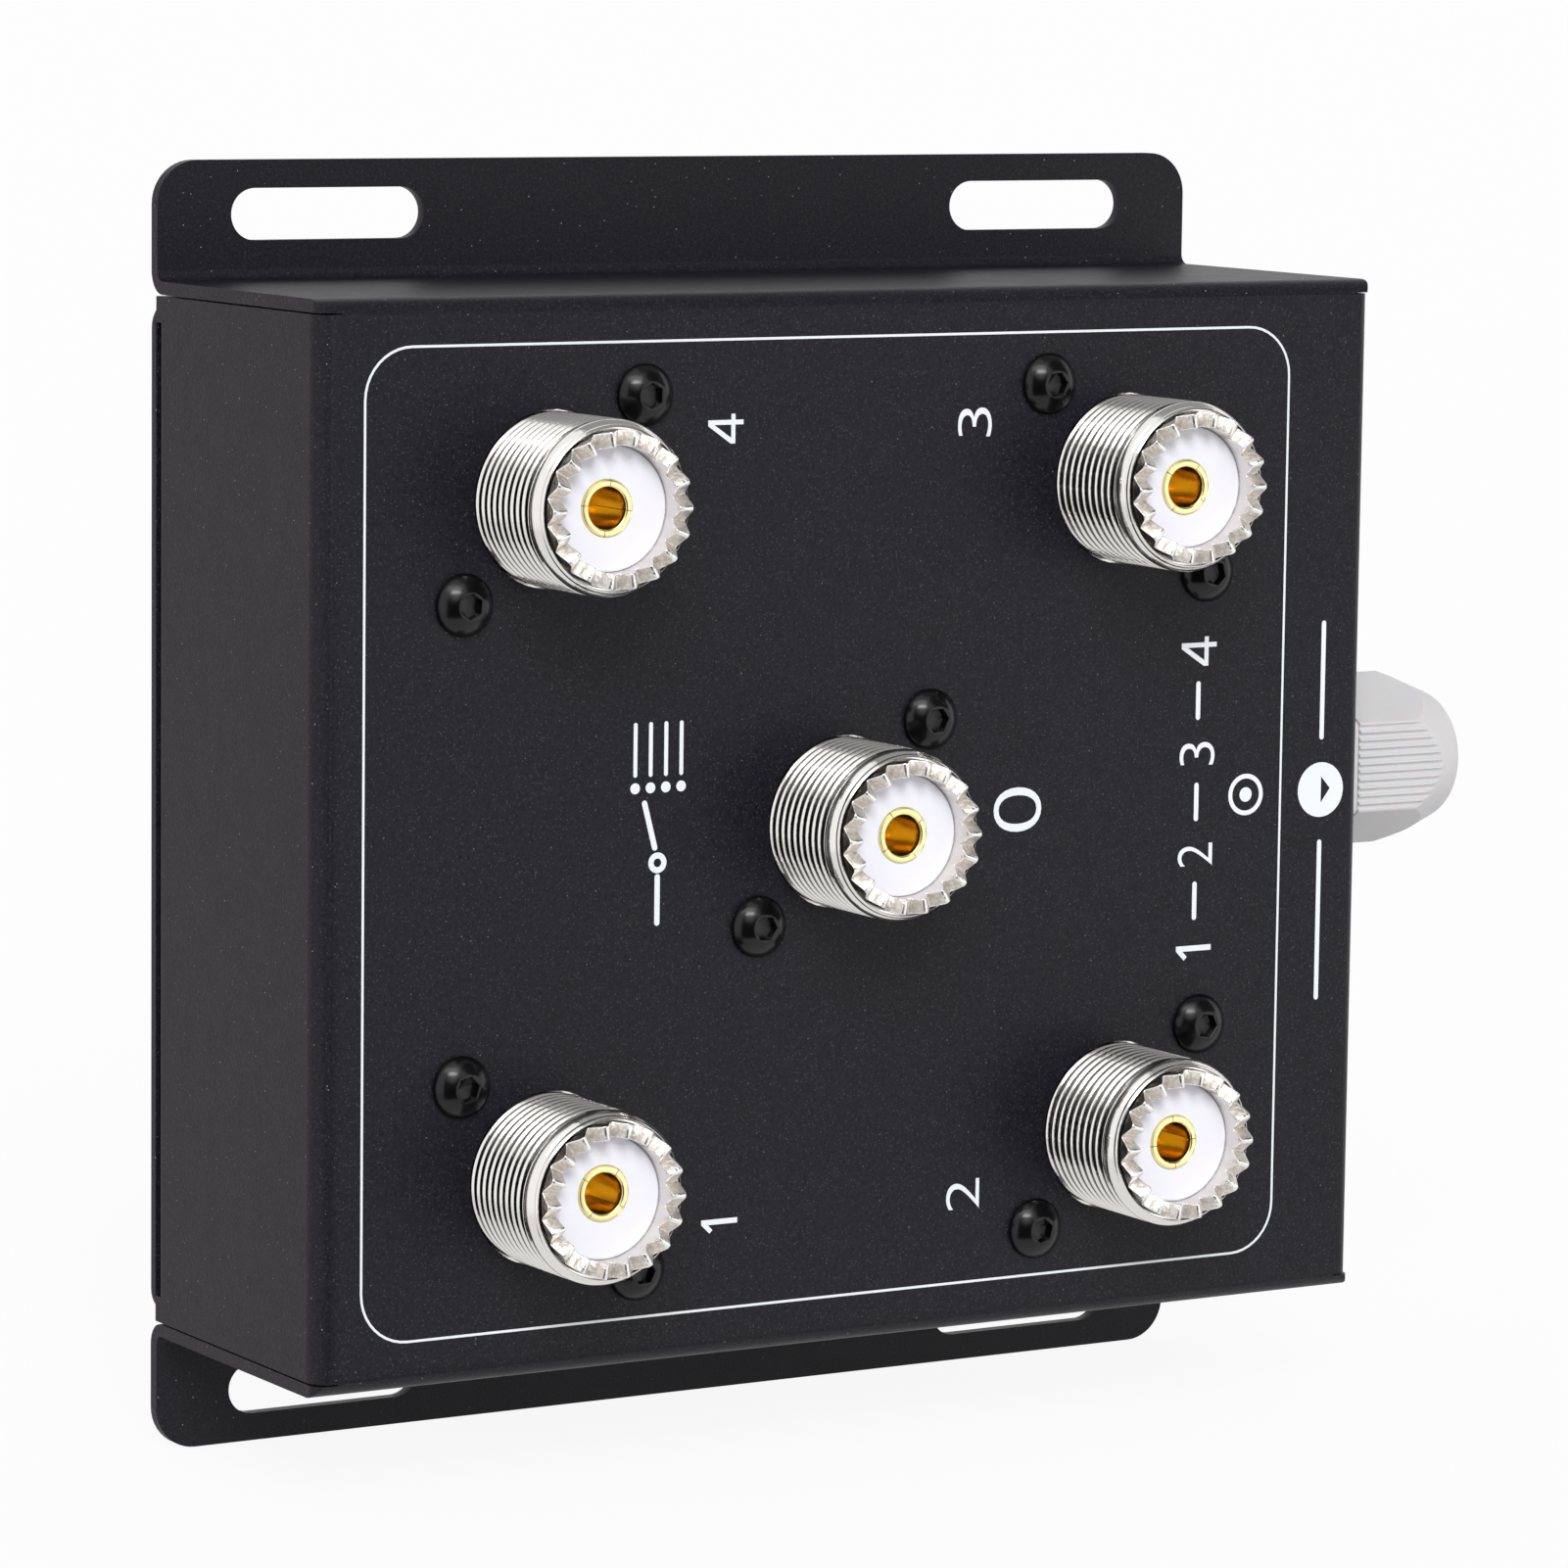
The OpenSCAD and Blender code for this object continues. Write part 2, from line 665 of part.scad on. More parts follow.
module insulator(i) {
    color(ptfe) translate([socket_x(i), 0, socket_z(i)]) difference() {
        union() {
            rod_y(crown_bore_d - 2 * fit_gap, insulator_front_y, insulator_step_y);
            rod_y(insulator_core_d, insulator_step_y - overlap, insulator_back_y);
        }
        rod_y(contact_d + 2 * fit_gap, insulator_front_y - cut, contact_root_y + fit_gap);
        rod_y(pin_d + 2 * fit_gap, contact_root_y, insulator_back_y + cut);
    }
}

// The centre contact: a slit tube in front and a soldered pin behind
module contact(i) {
    color(gold) translate([socket_x(i), 0, socket_z(i)]) difference() {
        union() {
            rod_y(contact_d, contact_front_y, contact_root_y);
            rod_y(pin_d, contact_root_y - overlap, board_back_y + pin_proud);
        }
        rod_y(contact_bore_d, contact_front_y - cut, contact_front_y + contact_bore_l);
        for (turn = [0, 90])
            rotate([0, turn, 0])
                translate([0, contact_front_y + (slit_l - cut) / 2, 0])
                    cube([contact_d + cut, slit_l + cut, slit_w], center = true);
    }
}

// ---- Screws, nuts and standoffs of the front panel ----

// A button head screw: its head's underside at y = seat, pointing back
module button_screw(seat, l) {
    difference() {
        union() {
            rod_y(screw_d, seat - overlap, seat + l);
            intersection() {
                rod_y(head_d, seat - head_h, seat);
                translate([0, seat - head_h + head_round, 0]) sphere(r = head_round);
            }
        }
        hex_y(key_af, seat - head_h - cut, seat - head_h + key_depth);
    }
}

module socket_screws() {
    color(black_oxide) for (i = [0:4], s = [-1, 1])
        translate([screw_x(i, s), 0, screw_z(i, s)]) button_screw(front_y, socket_screw_l);
}

module socket_nuts() {
    color(zinc) for (i = [0:4], s = [-1, 1]) if (!carries_board(i, s))
        translate([screw_x(i, s), 0, screw_z(i, s)]) difference() {
            hex_y(nut_af, shell_flange_back_y, shell_flange_back_y + nut_h);
            rod_y(screw_d + 2 * thread_gap, shell_flange_back_y - cut,
                  shell_flange_back_y + nut_h + cut);
        }
}

module board_standoffs() {
    color(zinc) for (i = [0:4], s = [-1, 1]) if (carries_board(i, s))
        translate([screw_x(i, s), 0, screw_z(i, s)]) difference() {
            hex_y(nut_af, shell_flange_back_y, board_front_y);
            rod_y(screw_d + 2 * thread_gap, shell_flange_back_y - cut, board_front_y + cut);
        }
}

// ---- Circuit board and what it carries ----

module circuit_board() {
    color([0.08, 0.32, 0.16]) difference() {
        translate([layout_x, 0, 0]) plate_y(board_front_y, board_back_y)
            rounded_rect(2 * board_half_w, 2 * board_half_h, board_corner_r);
        for (i = [0:4]) {
            translate([socket_x(i), 0, socket_z(i)])
                rod_y(pin_d + 2 * fit_gap, board_front_y - cut, board_back_y + cut);
            for (s = [-1, 1]) if (carries_board(i, s))
                translate([screw_x(i, s), 0, screw_z(i, s)])
                    rod_y(clear_d, board_front_y - cut, board_back_y + cut);
        }
        for (i = [0:3]) {
            on_relay(i) for (place = RELAY_PINS) board_pin_hole(place, relay_pin_d);
            on_board(relay_x(i), diode_z(i)) for (s = [-1, 1])
                board_pin_hole([s * diode_pin_x, 0], lead_d);
        }
        on_board(block_x, 0) for (y = WAY_ROWS)
            board_pin_hole([block_pin_x, y], relay_pin_d);
        for (row = CAP_ROWS, s = [-1, 1])
            on_board(cap_x, row * way_pitch) board_pin_hole([s * cap_pin_x, 0], lead_d);
    }
}

module board_screws() {
    color(zinc) for (i = [0:4], s = [-1, 1]) if (carries_board(i, s))
        translate([screw_x(i, s), 0, screw_z(i, s)])
            rotate([0, 0, 180]) button_screw(-board_back_y, board_screw_l);
}

// Places children drawn with z up from the board's rear face at x, z
module on_board(x, z) {
    translate([x, board_back_y, z]) rotate([-90, 0, 0]) children();
}

module on_relay(i) {
    on_board(relay_x(i), relay_z(i)) children();
}

// ---- Relays, drawn with z up from the board and y down the box ----

// A pin from the solder side of the board up to height top
module board_pin(place, d, top) {
    translate([place[0], place[1], -pin_l]) cylinder(d = d, h = pin_l + top);
}

// A hole through the board and the relay's base for such a pin
module board_pin_hole(place, d) {
    translate([place[0], place[1], -pin_l])
        cylinder(d = d + 2 * fit_gap, h = pin_l + base_t + cut);
}

module relay_base(i) {
    inset = 2 * (case_t + fit_gap);
    color([0.1, 0.1, 0.11]) on_relay(i) difference() {
        translate([0, 0, base_t / 2]) cube([relay_l - inset, relay_w - inset, base_t], center = true);
        for (place = RELAY_PINS) board_pin_hole(place, relay_pin_d);
    }
}

// The coil on its bobbin, whose lower flange carries the two coil pins
module relay_coil(i) {
    low = base_t + iron_t;
    color([0.72, 0.36, 0.16]) on_relay(i) {
        difference() {
            union() {
                translate([core_x, 0, low]) {
                    translate([0, 0, coil_cheek_t / 2])
                        cube([coil_d, coil_cheek_w, coil_cheek_t], center = true);
                    cylinder(d = coil_d - 2 * winding_inset, h = coil_l);
                    translate([0, 0, coil_l - coil_cheek_t]) cylinder(d = coil_d, h = coil_cheek_t);
                }
                for (place = COIL_PINS) board_pin(place, relay_pin_d, low + coil_cheek_t / 2);
            }
            translate([core_x, 0, low - cut])
                cylinder(d = core_d + 2 * fit_gap, h = coil_l + 2 * cut);
        }
    }
}

// The yoke with its core, pole face and common pin
module relay_yoke(i) {
    foot_x = core_x - core_d / 2 - yoke_foot_l;
    color(zinc) on_relay(i) {
        translate([foot_x, -yoke_w / 2, base_t])
            cube([yoke_leg_x + iron_t - foot_x, yoke_w, iron_t]);
        translate([yoke_leg_x, -yoke_w / 2, base_t]) cube([iron_t, yoke_w, yoke_top - base_t]);
        translate([core_x, 0, base_t]) cylinder(d = core_d, h = pole_top - base_t);
        translate([core_x, 0, pole_top - pole_t]) cylinder(d = pole_d, h = pole_t);
        board_pin(YOKE_PIN, relay_pin_d, base_t + iron_t / 2);
    }
}

// The armature with its leaf spring and the moving contact's two rivets
module relay_armature(i) {
    plate_x = core_x - pole_d / 2 - armature_end_l;
    leaf_x = contact_x - rivet_d / 2 - leaf_end_l;
    color(zinc) on_relay(i) {
        translate([plate_x, -yoke_w / 2, armature_low])
            cube([hinge_x + iron_t / 2 - plate_x, yoke_w, iron_t]);
        translate([leaf_x, -leaf_w / 2, leaf_low - overlap])
            cube([yoke_leg_x - leaf_root_inset - leaf_x, leaf_w, leaf_t + overlap]);
        translate([contact_x, 0, leaf_low - rivet_t]) cylinder(d = rivet_d, h = leaf_t + 2 * rivet_t);
    }
}

// A fixed contact: a post on one side of the leaf spring, an arm and a rivet
// facing the moving contact. The rivet's face is at height face.
module fixed_contact(place, face, up) {
    arm_low = up ? face + rivet_t : face - rivet_t - post_arm_t;
    side = sign(place[1]);
    reach = abs(place[1]) + post_w / 2;
    board_pin(place, relay_pin_d, base_t + overlap);
    translate([place[0] - post_w / 2, place[1] - post_w / 2, base_t])
        cube([post_w, post_w, arm_low + post_arm_t - base_t]);
    translate([place[0] - post_w / 2, side > 0 ? -rivet_d / 2 : -reach, arm_low])
        cube([post_w / 2 + contact_x - place[0] + rivet_d / 2, reach + rivet_d / 2, post_arm_t]);
    translate([contact_x, 0, min(face, arm_low)]) cylinder(d = rivet_d, h = rivet_t + post_arm_t);
}

module relay_contacts(i) {
    rest_face = leaf_low + leaf_t + rivet_t + touch_gap;
    work_face = leaf_low - rivet_t - contact_travel - touch_gap;
    color([0.85, 0.62, 0.35]) on_relay(i) {
        fixed_contact(POST_PINS[0], rest_face, true);
        fixed_contact(POST_PINS[1], work_face, false);
    }
}

module relay_case(i) {
    color([0.13, 0.28, 0.55]) on_relay(i) difference() {
        translate([0, 0, relay_h / 2]) cube([relay_l, relay_w, relay_h], center = true);
        translate([0, 0, (relay_h - case_t - cut) / 2])
            cube([relay_l - 2 * case_t, relay_w - 2 * case_t, relay_h - case_t + cut],
                 center = true);
    }
}

// ---- Terminals, diodes and capacitors ----

module terminal_block() {
    color([0.12, 0.5, 0.25]) on_board(block_x, 0) {
        difference() {
            translate([0, 0, block_h / 2]) cube([block_d, block_l, block_h], center = true);
            for (y = WAY_ROWS) translate([0, y, 0]) {
                translate([0, 0, wire_hole_z]) rod_x(wire_hole_d, -terminal_screw_d / 2, block_d);
                translate([0, 0, well_floor]) cylinder(d = well_d, h = block_h);
                translate([0, 0, wire_hole_z])
                    cylinder(d = terminal_screw_d + 2 * fit_gap, h = block_h);
            }
        }
        for (y = WAY_ROWS) board_pin([block_pin_x, y], relay_pin_d, overlap);
    }
}

module terminal_screws() {
    color(zinc) on_board(block_x, 0) for (y = WAY_ROWS) translate([0, y, 0]) difference() {
        union() {
            translate([0, 0, terminal_screw_low])
                cylinder(d = terminal_screw_d, h = well_floor + overlap - terminal_screw_low);
            translate([0, 0, well_floor]) cylinder(d = well_d - 4 * fit_gap, h = terminal_head_h);
        }
        translate([0, 0, well_floor + terminal_head_h])
            cube([driver_slot_w, well_d, terminal_head_h], center = true);
    }
}

// A lead that leaves a part sideways at height top and turns down to the board
module bent_lead(x, top) {
    board_pin([x, 0], lead_d, top);
    translate([x, 0, top]) sphere(d = lead_d);
    translate([0, 0, top]) rod_x(lead_d, min(x, 0), max(x, 0));
}

module flyback_diodes() {
    height = diode_d / 2 + diode_lift;
    color([0.12, 0.12, 0.13]) for (i = [0:3]) on_board(relay_x(i), diode_z(i)) {
        translate([0, 0, height]) rod_x(diode_d, -diode_l / 2, diode_l / 2);
        for (s = [-1, 1]) bent_lead(s * diode_pin_x, height);
    }
}

module bypass_capacitors() {
    height = disc_d / 2 + cap_lift;
    color([0.75, 0.5, 0.2]) for (row = CAP_ROWS) on_board(cap_x, row * way_pitch) {
        translate([0, 0, height]) rod_y(disc_d, -disc_t / 2, disc_t / 2);
        for (s = [-1, 1]) board_pin([s * cap_pin_x, 0], lead_d, height - disc_d / 4);
    }
}

// ---- Cable gland, drawn along X about its own axis ----

module at_gland() {
    translate([0, -gland_y, gland_z]) children();
}

module gland_gasket() {
    color([0.1, 0.1, 0.1]) at_gland() difference() {
        rod_x(gasket_d, half_w, half_w + gasket_t);
        rod_x(wall_hole_d, half_w - cut, half_w + gasket_t + cut);
    }
}

// The body: hexagon, thread through the wall, and slit claws round the seal
module gland_body() {
    inner_end_x = half_w - sheet_t - gland_inner_l;
    color(nylon) at_gland() difference() {
        union() {
            rod_x(gland_thread_d, inner_end_x, gland_thread_end_x);
            intersection() {
                hex_x(gland_af, gland_hex_x, gland_top_x);
                rod_x(gland_corner_d, gland_hex_x, gland_top_x);
            }
        }
        rod_x(gland_bore_d, inner_end_x - cut, gland_thread_end_x + cut);
        rod_x(seal_seat_d, seal_start_x, gland_thread_end_x + cut);
        for (turn = [0, 60, 120]) rotate([turn, 0, 0])
            translate([gland_thread_end_x, 0, 0])
                cube([2 * (claw_l - claw_root_l), claw_gap, gland_thread_d + cut], center = true);
    }
}

module gland_lock_nut() {
    back_x = half_w - sheet_t;
    color(nylon) at_gland() difference() {
        hex_x(locknut_af, back_x - locknut_t, back_x);
        rod_x(gland_thread_d + 2 * thread_gap, back_x - locknut_t - cut, back_x + cut);
    }
}

module gland_seal() {
    color([0.15, 0.15, 0.15]) at_gland() difference() {
        rod_x(seal_seat_d - 4 * fit_gap, seal_start_x + fit_gap, seal_end_x);
        rod_x(seal_bore_d, seal_start_x - cut, seal_end_x + cut);
    }
}

// Outer shape of the dome nut as turned: [radius, height along the nut]
module dome_profile() {
    corner_r = gland_corner_d / 2;
    cone_x = dome_l - dome_cone_l;
    round_x = dome_l - dome_round;
    tangent_x = round_x + dome_round * sin(dome_slope);
    tangent_r = corner_r - (tangent_x - cone_x) * tan(dome_slope);
    round_r = tangent_r - dome_round * cos(dome_slope);
    polygon([[0, 0], [corner_r, 0], [corner_r, cone_x], [tangent_r, tangent_x],
             [round_r, round_x], [round_r, dome_l], [0, dome_l]]);
    translate([round_r, round_x]) circle(r = dome_round);
}

// The dome nut: a hexagon turned down to a dome, with every other face fluted
module gland_dome_nut() {
    face_w = gland_af / sqrt(3);
    color(nylon) at_gland() difference() {
        intersection() {
            hex_x(gland_af, dome_start_x, dome_end_x);
            translate([dome_start_x, 0, 0]) rotate([0, 90, 0]) rotate_extrude() dome_profile();
        }
        for (face = [0, 120, 240], k = [0:flutes - 1])
            rotate([face, 0, 0])
                translate([0, -gland_af / 2, (k - (flutes - 1) / 2) * face_w / flutes])
                    rod_x(2 * flute_r, dome_start_x - cut, dome_end_x);
        rod_x(gland_thread_d + 2 * dome_gap, dome_start_x - cut, gland_thread_end_x + nut_stop_gap);
        rod_x(seal_seat_d + 2 * seal_gap, dome_start_x, seal_end_x + seal_gap);
        rod_x(dome_hole_d, dome_start_x, dome_end_x + cut);
    }
}

// ---- One line for each node ----

enclosure();
rear_cover();
cover_screws();
for (i = [0:4]) {
    socket_shell(i);
    insulator(i);
    contact(i);
}
socket_screws();
socket_nuts();
board_standoffs();
circuit_board();
board_screws();
for (i = [0:3]) {
    relay_base(i);
    relay_coil(i);
    relay_yoke(i);
    relay_armature(i);
    relay_contacts(i);
    relay_case(i);
}
terminal_block();
terminal_screws();
flyback_diodes();
bypass_capacitors();
gland_gasket();
gland_body();
gland_lock_nut();
gland_seal();
gland_dome_nut();
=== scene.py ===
"""A coaxial antenna switch: the finishes and fine shapes of its outside.

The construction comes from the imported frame. Sizes are in millimetres unless a
comment says otherwise, with X to the right, Z up, and the sockets along -Y.
"""

import json
import math
import random

import bmesh
import bpy
from mathutils import Matrix, Vector


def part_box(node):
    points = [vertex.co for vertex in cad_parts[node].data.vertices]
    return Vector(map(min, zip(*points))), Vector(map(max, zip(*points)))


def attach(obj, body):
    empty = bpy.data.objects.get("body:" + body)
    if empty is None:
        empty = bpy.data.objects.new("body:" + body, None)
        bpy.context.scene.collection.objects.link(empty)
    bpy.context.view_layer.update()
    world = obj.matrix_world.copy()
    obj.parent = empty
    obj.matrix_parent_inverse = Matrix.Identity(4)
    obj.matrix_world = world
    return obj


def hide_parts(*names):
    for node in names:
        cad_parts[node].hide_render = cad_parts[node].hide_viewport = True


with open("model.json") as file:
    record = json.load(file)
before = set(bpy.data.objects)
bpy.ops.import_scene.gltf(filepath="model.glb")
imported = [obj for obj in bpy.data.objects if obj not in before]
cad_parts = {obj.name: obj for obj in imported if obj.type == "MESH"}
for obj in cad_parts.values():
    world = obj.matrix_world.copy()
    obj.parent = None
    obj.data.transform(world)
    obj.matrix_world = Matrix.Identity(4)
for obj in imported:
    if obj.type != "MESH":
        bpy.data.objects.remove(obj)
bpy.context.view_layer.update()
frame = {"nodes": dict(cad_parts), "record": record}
MM = 0.001

# ---- Sizes read from the frame or shared with it ----

PANEL_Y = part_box("enclosure")[0].y / MM
PANEL_T = 1.2
SOCKETS = ("1", "2", "3", "4", "feed")

# Names in _R are radii, and names in _OUT are distances out from the front panel's
# plane. All are round or along a socket's axis, apart from HOLE_R.
THREAD_R = 15.875 / 2
THREAD_PITCH = 25.4 / 24
THREAD_DEPTH = 0.60
ROOT_R = THREAD_R - THREAD_DEPTH
BARREL_BACK_OUT, THREAD_END_OUT = -0.5, 9.8
PILOT_R, RIM_BORE_R = 7.5, 7.25
RIM_OUT, GROOVE_OUT = 11.3, 10.3
FLANGE_HALF, FLANGE_T, FLANGE_CORNER = 12.7, 1.6, 1.0
BOSS_R, BOSS_L = 6.3, 1.4
# The flange's holes and their screws lie HOLE_HALF from the axis, both across and up
HOLE_HALF, HOLE_R = 9.13, 1.7
CROWN_R, CROWN_BORE_R, TIP_OUT = 7.05, 5.65, 12.7
CROWN_TEETH = 18
NOTCH_DEPTH = 1.3
CORE_BORE_R = 4.65
INSULATOR_STEP_OUT, INSULATOR_OUT = 6.0, 10.25
CONTACT_R, CONTACT_BORE_R, LIP_R, PIN_R = 2.54, 2.0, 1.86, 1.7
CONTACT_OUT, SLIT_END_OUT, BORE_FLOOR_OUT, PIN_END_OUT = 10.4, 4.5, 1.0, -14.4
SLIT_W = 0.06


def socket_axis(name):
    """Where a socket's axis meets the front panel's plane, in millimetres."""
    low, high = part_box("socket_shell_" + name)
    return (low.x + high.x) / 2 / MM, (low.z + high.z) / 2 / MM


# ---- Camera ----

IMAGE_PX = 1601
FOCAL_PX = 6942.1
SENSOR_MM = 36
CAMERA_AT = (-0.32759, -0.56353, 0.08139)
CAMERA_AZIMUTH, CAMERA_ELEVATION, CAMERA_ROLL = -31.05, 7.147, 0.71
CLIP_START, CLIP_END = 0.05, 200


def make_camera():
    """The photograph's camera. Its place is in metres and its turns in degrees."""
    azimuth, elevation = math.radians(CAMERA_AZIMUTH), math.radians(CAMERA_ELEVATION)
    back = Vector((math.sin(azimuth) * math.cos(elevation),
                   -math.cos(azimuth) * math.cos(elevation),
                   math.sin(elevation)))
    right = Vector((0, 0, 1)).cross(back).normalized()
    up = back.cross(right)
    turn = Matrix((right, up, back)).transposed().to_4x4()
    data = bpy.data.cameras.new("camera")
    data.sensor_width = SENSOR_MM
    data.lens = FOCAL_PX / IMAGE_PX * SENSOR_MM
    data.clip_start, data.clip_end = CLIP_START, CLIP_END
    camera = bpy.data.objects.new("camera", data)
    bpy.context.collection.objects.link(camera)
    roll = Matrix.Rotation(math.radians(CAMERA_ROLL), 4, "Z")
    camera.matrix_world = Matrix.Translation(CAMERA_AT) @ turn @ roll
    bpy.context.scene.camera = camera


# ---- Shader node groups ----


class Nodes:
    """Short ways to add and join nodes in one tree."""

    def __init__(self, tree):
        self.tree = tree

    def add(self, kind, **values):
        """A new node, with inputs given by their labels in small letters."""
        node = self.tree.nodes.new("ShaderNode" + kind)
        for key, value in values.items():
            self.put(node, key.replace("_", " ").title(), value)
        return node

    def put(self, node, socket, value):
        """Sets a node's input, or joins it to the output given as its value."""
        target = node.inputs[socket]
        if isinstance(value, bpy.types.NodeSocket):
            self.tree.links.new(value, target)
        else:
            target.default_value = value

    def place(self):
        """The object's own X, Y and Z at each point, in metres."""
        split = self.add("SeparateXYZ")
        self.put(split, 0, self.add("TexCoord").outputs["Object"])
        return split.outputs

    def math(self, operation, a, b=0.0):
        node = self.tree.nodes.new("ShaderNodeMath")
        node.operation = operation
        self.put(node, 0, a)
        self.put(node, 1, b)
        return node.outputs[0]

    def mix(self, share, a, b):
        """A colour between a and b."""
        node = self.tree.nodes.new("ShaderNodeMix")
        node.data_type = "RGBA"
        self.put(node, 0, share)
        self.put(node, 6, a)
        self.put(node, 7, b)
        return node.outputs[2]

    def span(self, value, low, high, new_low, new_high):
        """value carried from low..high to new_low..new_high, held at the ends."""
        node = self.tree.nodes.new("ShaderNodeMapRange")
        for index, number in enumerate((value, low, high, new_low, new_high)):
            self.put(node, index, number)
        return node.outputs[0]


def new_group(name, inputs, outputs):
    """A shader node group with float inputs (name: default) and float outputs."""
    tree = bpy.data.node_groups.new(name, "ShaderNodeTree")
    for label, value in inputs.items():
        socket = tree.interface.new_socket(label, in_out="INPUT", socket_type="NodeSocketFloat")
        socket.default_value = value
    for label in outputs:
        tree.interface.new_socket(label, in_out="OUTPUT", socket_type="NodeSocketFloat")
    start = tree.nodes.new("NodeGroupInput")
    end = tree.nodes.new("NodeGroupOutput")
    return Nodes(tree), start.outputs, end.inputs


def grain_group():
    """Fine bumps of a given size, and a slow mottle ten times as large."""
    n, given, result = new_group("grain", {"Size mm": 0.5}, ("Height", "Mottle"))
    place = n.add("TexCoord").outputs["Object"]
    per_metre = n.math("DIVIDE", 1 / MM, given["Size mm"])
    fine = n.add("TexNoise", scale=per_metre, detail=2.0, roughness=0.55)
    n.put(fine, "Vector", place)
    slow = n.add("TexNoise", scale=n.math("MULTIPLY", per_metre, 0.1), detail=3.0)
    n.put(slow, "Vector", place)
    n.tree.links.new(fine.outputs[0], result["Height"])
    n.tree.links.new(slow.outputs[0], result["Mottle"])
    return n.tree


def specks_group():
    """Small round specks, one in some of the cells of a grid, some of them faint."""
    n, given, result = new_group("specks", {"Cell mm": 4.0, "Radius mm": 0.1, "Share": 0.3},
                                 ("Mask",))
    place = n.add("TexCoord").outputs["Object"]
    cell = n.add("TexVoronoi", scale=n.math("DIVIDE", 1 / MM, given["Cell mm"]))
    n.put(cell, "Vector", place)
    reach = n.math("DIVIDE", given["Radius mm"], given["Cell mm"])
    near = n.span(cell.outputs["Distance"], n.math("MULTIPLY", reach, 0.5), reach, 1.0, 0.0)
    pick = n.add("SeparateColor")
    n.put(pick, 0, cell.outputs["Color"])
    chosen = n.math("LESS_THAN", pick.outputs[0], given["Share"])
    faint = n.span(pick.outputs[1], 0.0, 1.0, 0.25, 1.0)
    mask = n.math("MULTIPLY", n.math("MULTIPLY", near, chosen), faint)
    n.tree.links.new(mask, result["Mask"])
    return n.tree


def turned_group():
    """Fine rings left by turning, round the object's own Y axis."""
    n, given, result = new_group("turned", {"Ring mm": 0.08}, ("Height", "Radius mm"))
    x, y, z = n.place()
    radius = n.math("SQRT", n.math("ADD", n.math("POWER", x, 2.0), n.math("POWER", z, 2.0)))
    join = n.add("CombineXYZ")
    n.put(join, 0, radius)
    n.put(join, 1, y)
    rings = n.add("TexNoise", scale=n.math("DIVIDE", 1 / MM, given["Ring mm"]), detail=1.0)
    n.put(rings, "Vector", join.outputs[0])
    n.tree.links.new(rings.outputs[0], result["Height"])
    n.tree.links.new(n.math("DIVIDE", radius, MM), result["Radius mm"])
    return n.tree


GRAIN, SPECKS, TURNED = grain_group(), specks_group(), turned_group()

# ---- Materials ----

# Most values of a noise texture lie between these
NOISE_LOW, NOISE_HIGH = 0.3, 0.7


def new_material(name, color, roughness, metallic=0.0, **plain):
    """A principled material; plain holds further socket names and numbers."""
    material = bpy.data.materials.new(name)
    material.use_nodes = True
    material.diffuse_color = (*color, 1)
    n = Nodes(material.node_tree)
    n.bsdf = material.node_tree.nodes["Principled BSDF"]
    n.put(n.bsdf, "Base Color", (*color, 1))
    n.put(n.bsdf, "Roughness", roughness)
    n.put(n.bsdf, "Metallic", metallic)
    for key, value in plain.items():
        n.put(n.bsdf, key.replace("_", " "), value)
    return material, n


def use_group(n, tree, **values):
    """The outputs of a group placed in a material, with its inputs set by name."""
    node = n.tree.nodes.new("ShaderNodeGroup")
    node.node_tree = tree
    for key, value in values.items():
        n.put(node, key.replace("_", " "), value)
    return node.outputs


def bump(n, height, depth_mm, normal=None):
    """Bumps of a given depth, added to the material's normal."""
    node = n.add("Bump", strength=1.0, distance=depth_mm * MM)
    n.put(node, "Height", height)
    if normal is not None:
        n.put(node, "Normal", normal)
    n.put(n.bsdf, "Normal", node.outputs[0])
    return node.outputs[0]


def mottled(n, grain, smooth, rough):
    """Lets the roughness change slowly from place to place."""
    n.put(n.bsdf, "Roughness", n.span(grain["Mottle"], NOISE_LOW, NOISE_HIGH, smooth, rough))


def powder_coat():
    """Near-black paint with a fine grain, painted shade in its hollows and painted light on its hills,
    painted glints, and specks of dust.
    """
    # hollow and hill: painted shade and painted light on the grain's bumps; glint: a painted glint
    hollow_shade, hill_light = (0.0034, 0.0031, 0.0058, 1), (0.0124, 0.0116, 0.0166, 1)
    glint, speck = (0.056, 0.055, 0.060, 1), (0.42, 0.42, 0.43, 1)
    material, n = new_material("powder_coat", (0.008, 0.008, 0.010), 0.42, Specular_IOR_Level=0.22)
    grain = use_group(n, GRAIN, Size_mm=0.3)
    painted_glints = use_group(n, SPECKS, Cell_mm=0.32, Radius_mm=0.085, Share=0.7)
    dust = use_group(n, SPECKS, Cell_mm=0.9, Radius_mm=0.07, Share=0.5)
    # The grain's height paints its hollows in shade and its hills in light; glints are painted over that
    shade = n.mix(n.span(grain["Height"], NOISE_LOW, NOISE_HIGH, 0.0, 1.0), hollow_shade, hill_light)
    shade = n.mix(painted_glints["Mask"], shade, glint)
    n.put(n.bsdf, "Base Color", n.mix(dust["Mask"], shade, speck))
    mottled(n, grain, 0.43, 0.47)
    bump(n, grain["Height"], 0.03)
    return material


def nickel(name, color, roughness, depth_mm):
    """Bright plating over turned metal."""
    material, n = new_material(name, color, roughness, metallic=1.0)
    grain = use_group(n, GRAIN, Size_mm=0.6)
    rings = use_group(n, TURNED, Ring_mm=0.09)
    mottled(n, grain, roughness, roughness * 1.6)
    first = bump(n, rings["Height"], depth_mm)
    bump(n, grain["Height"], depth_mm * 2, first)
    return material


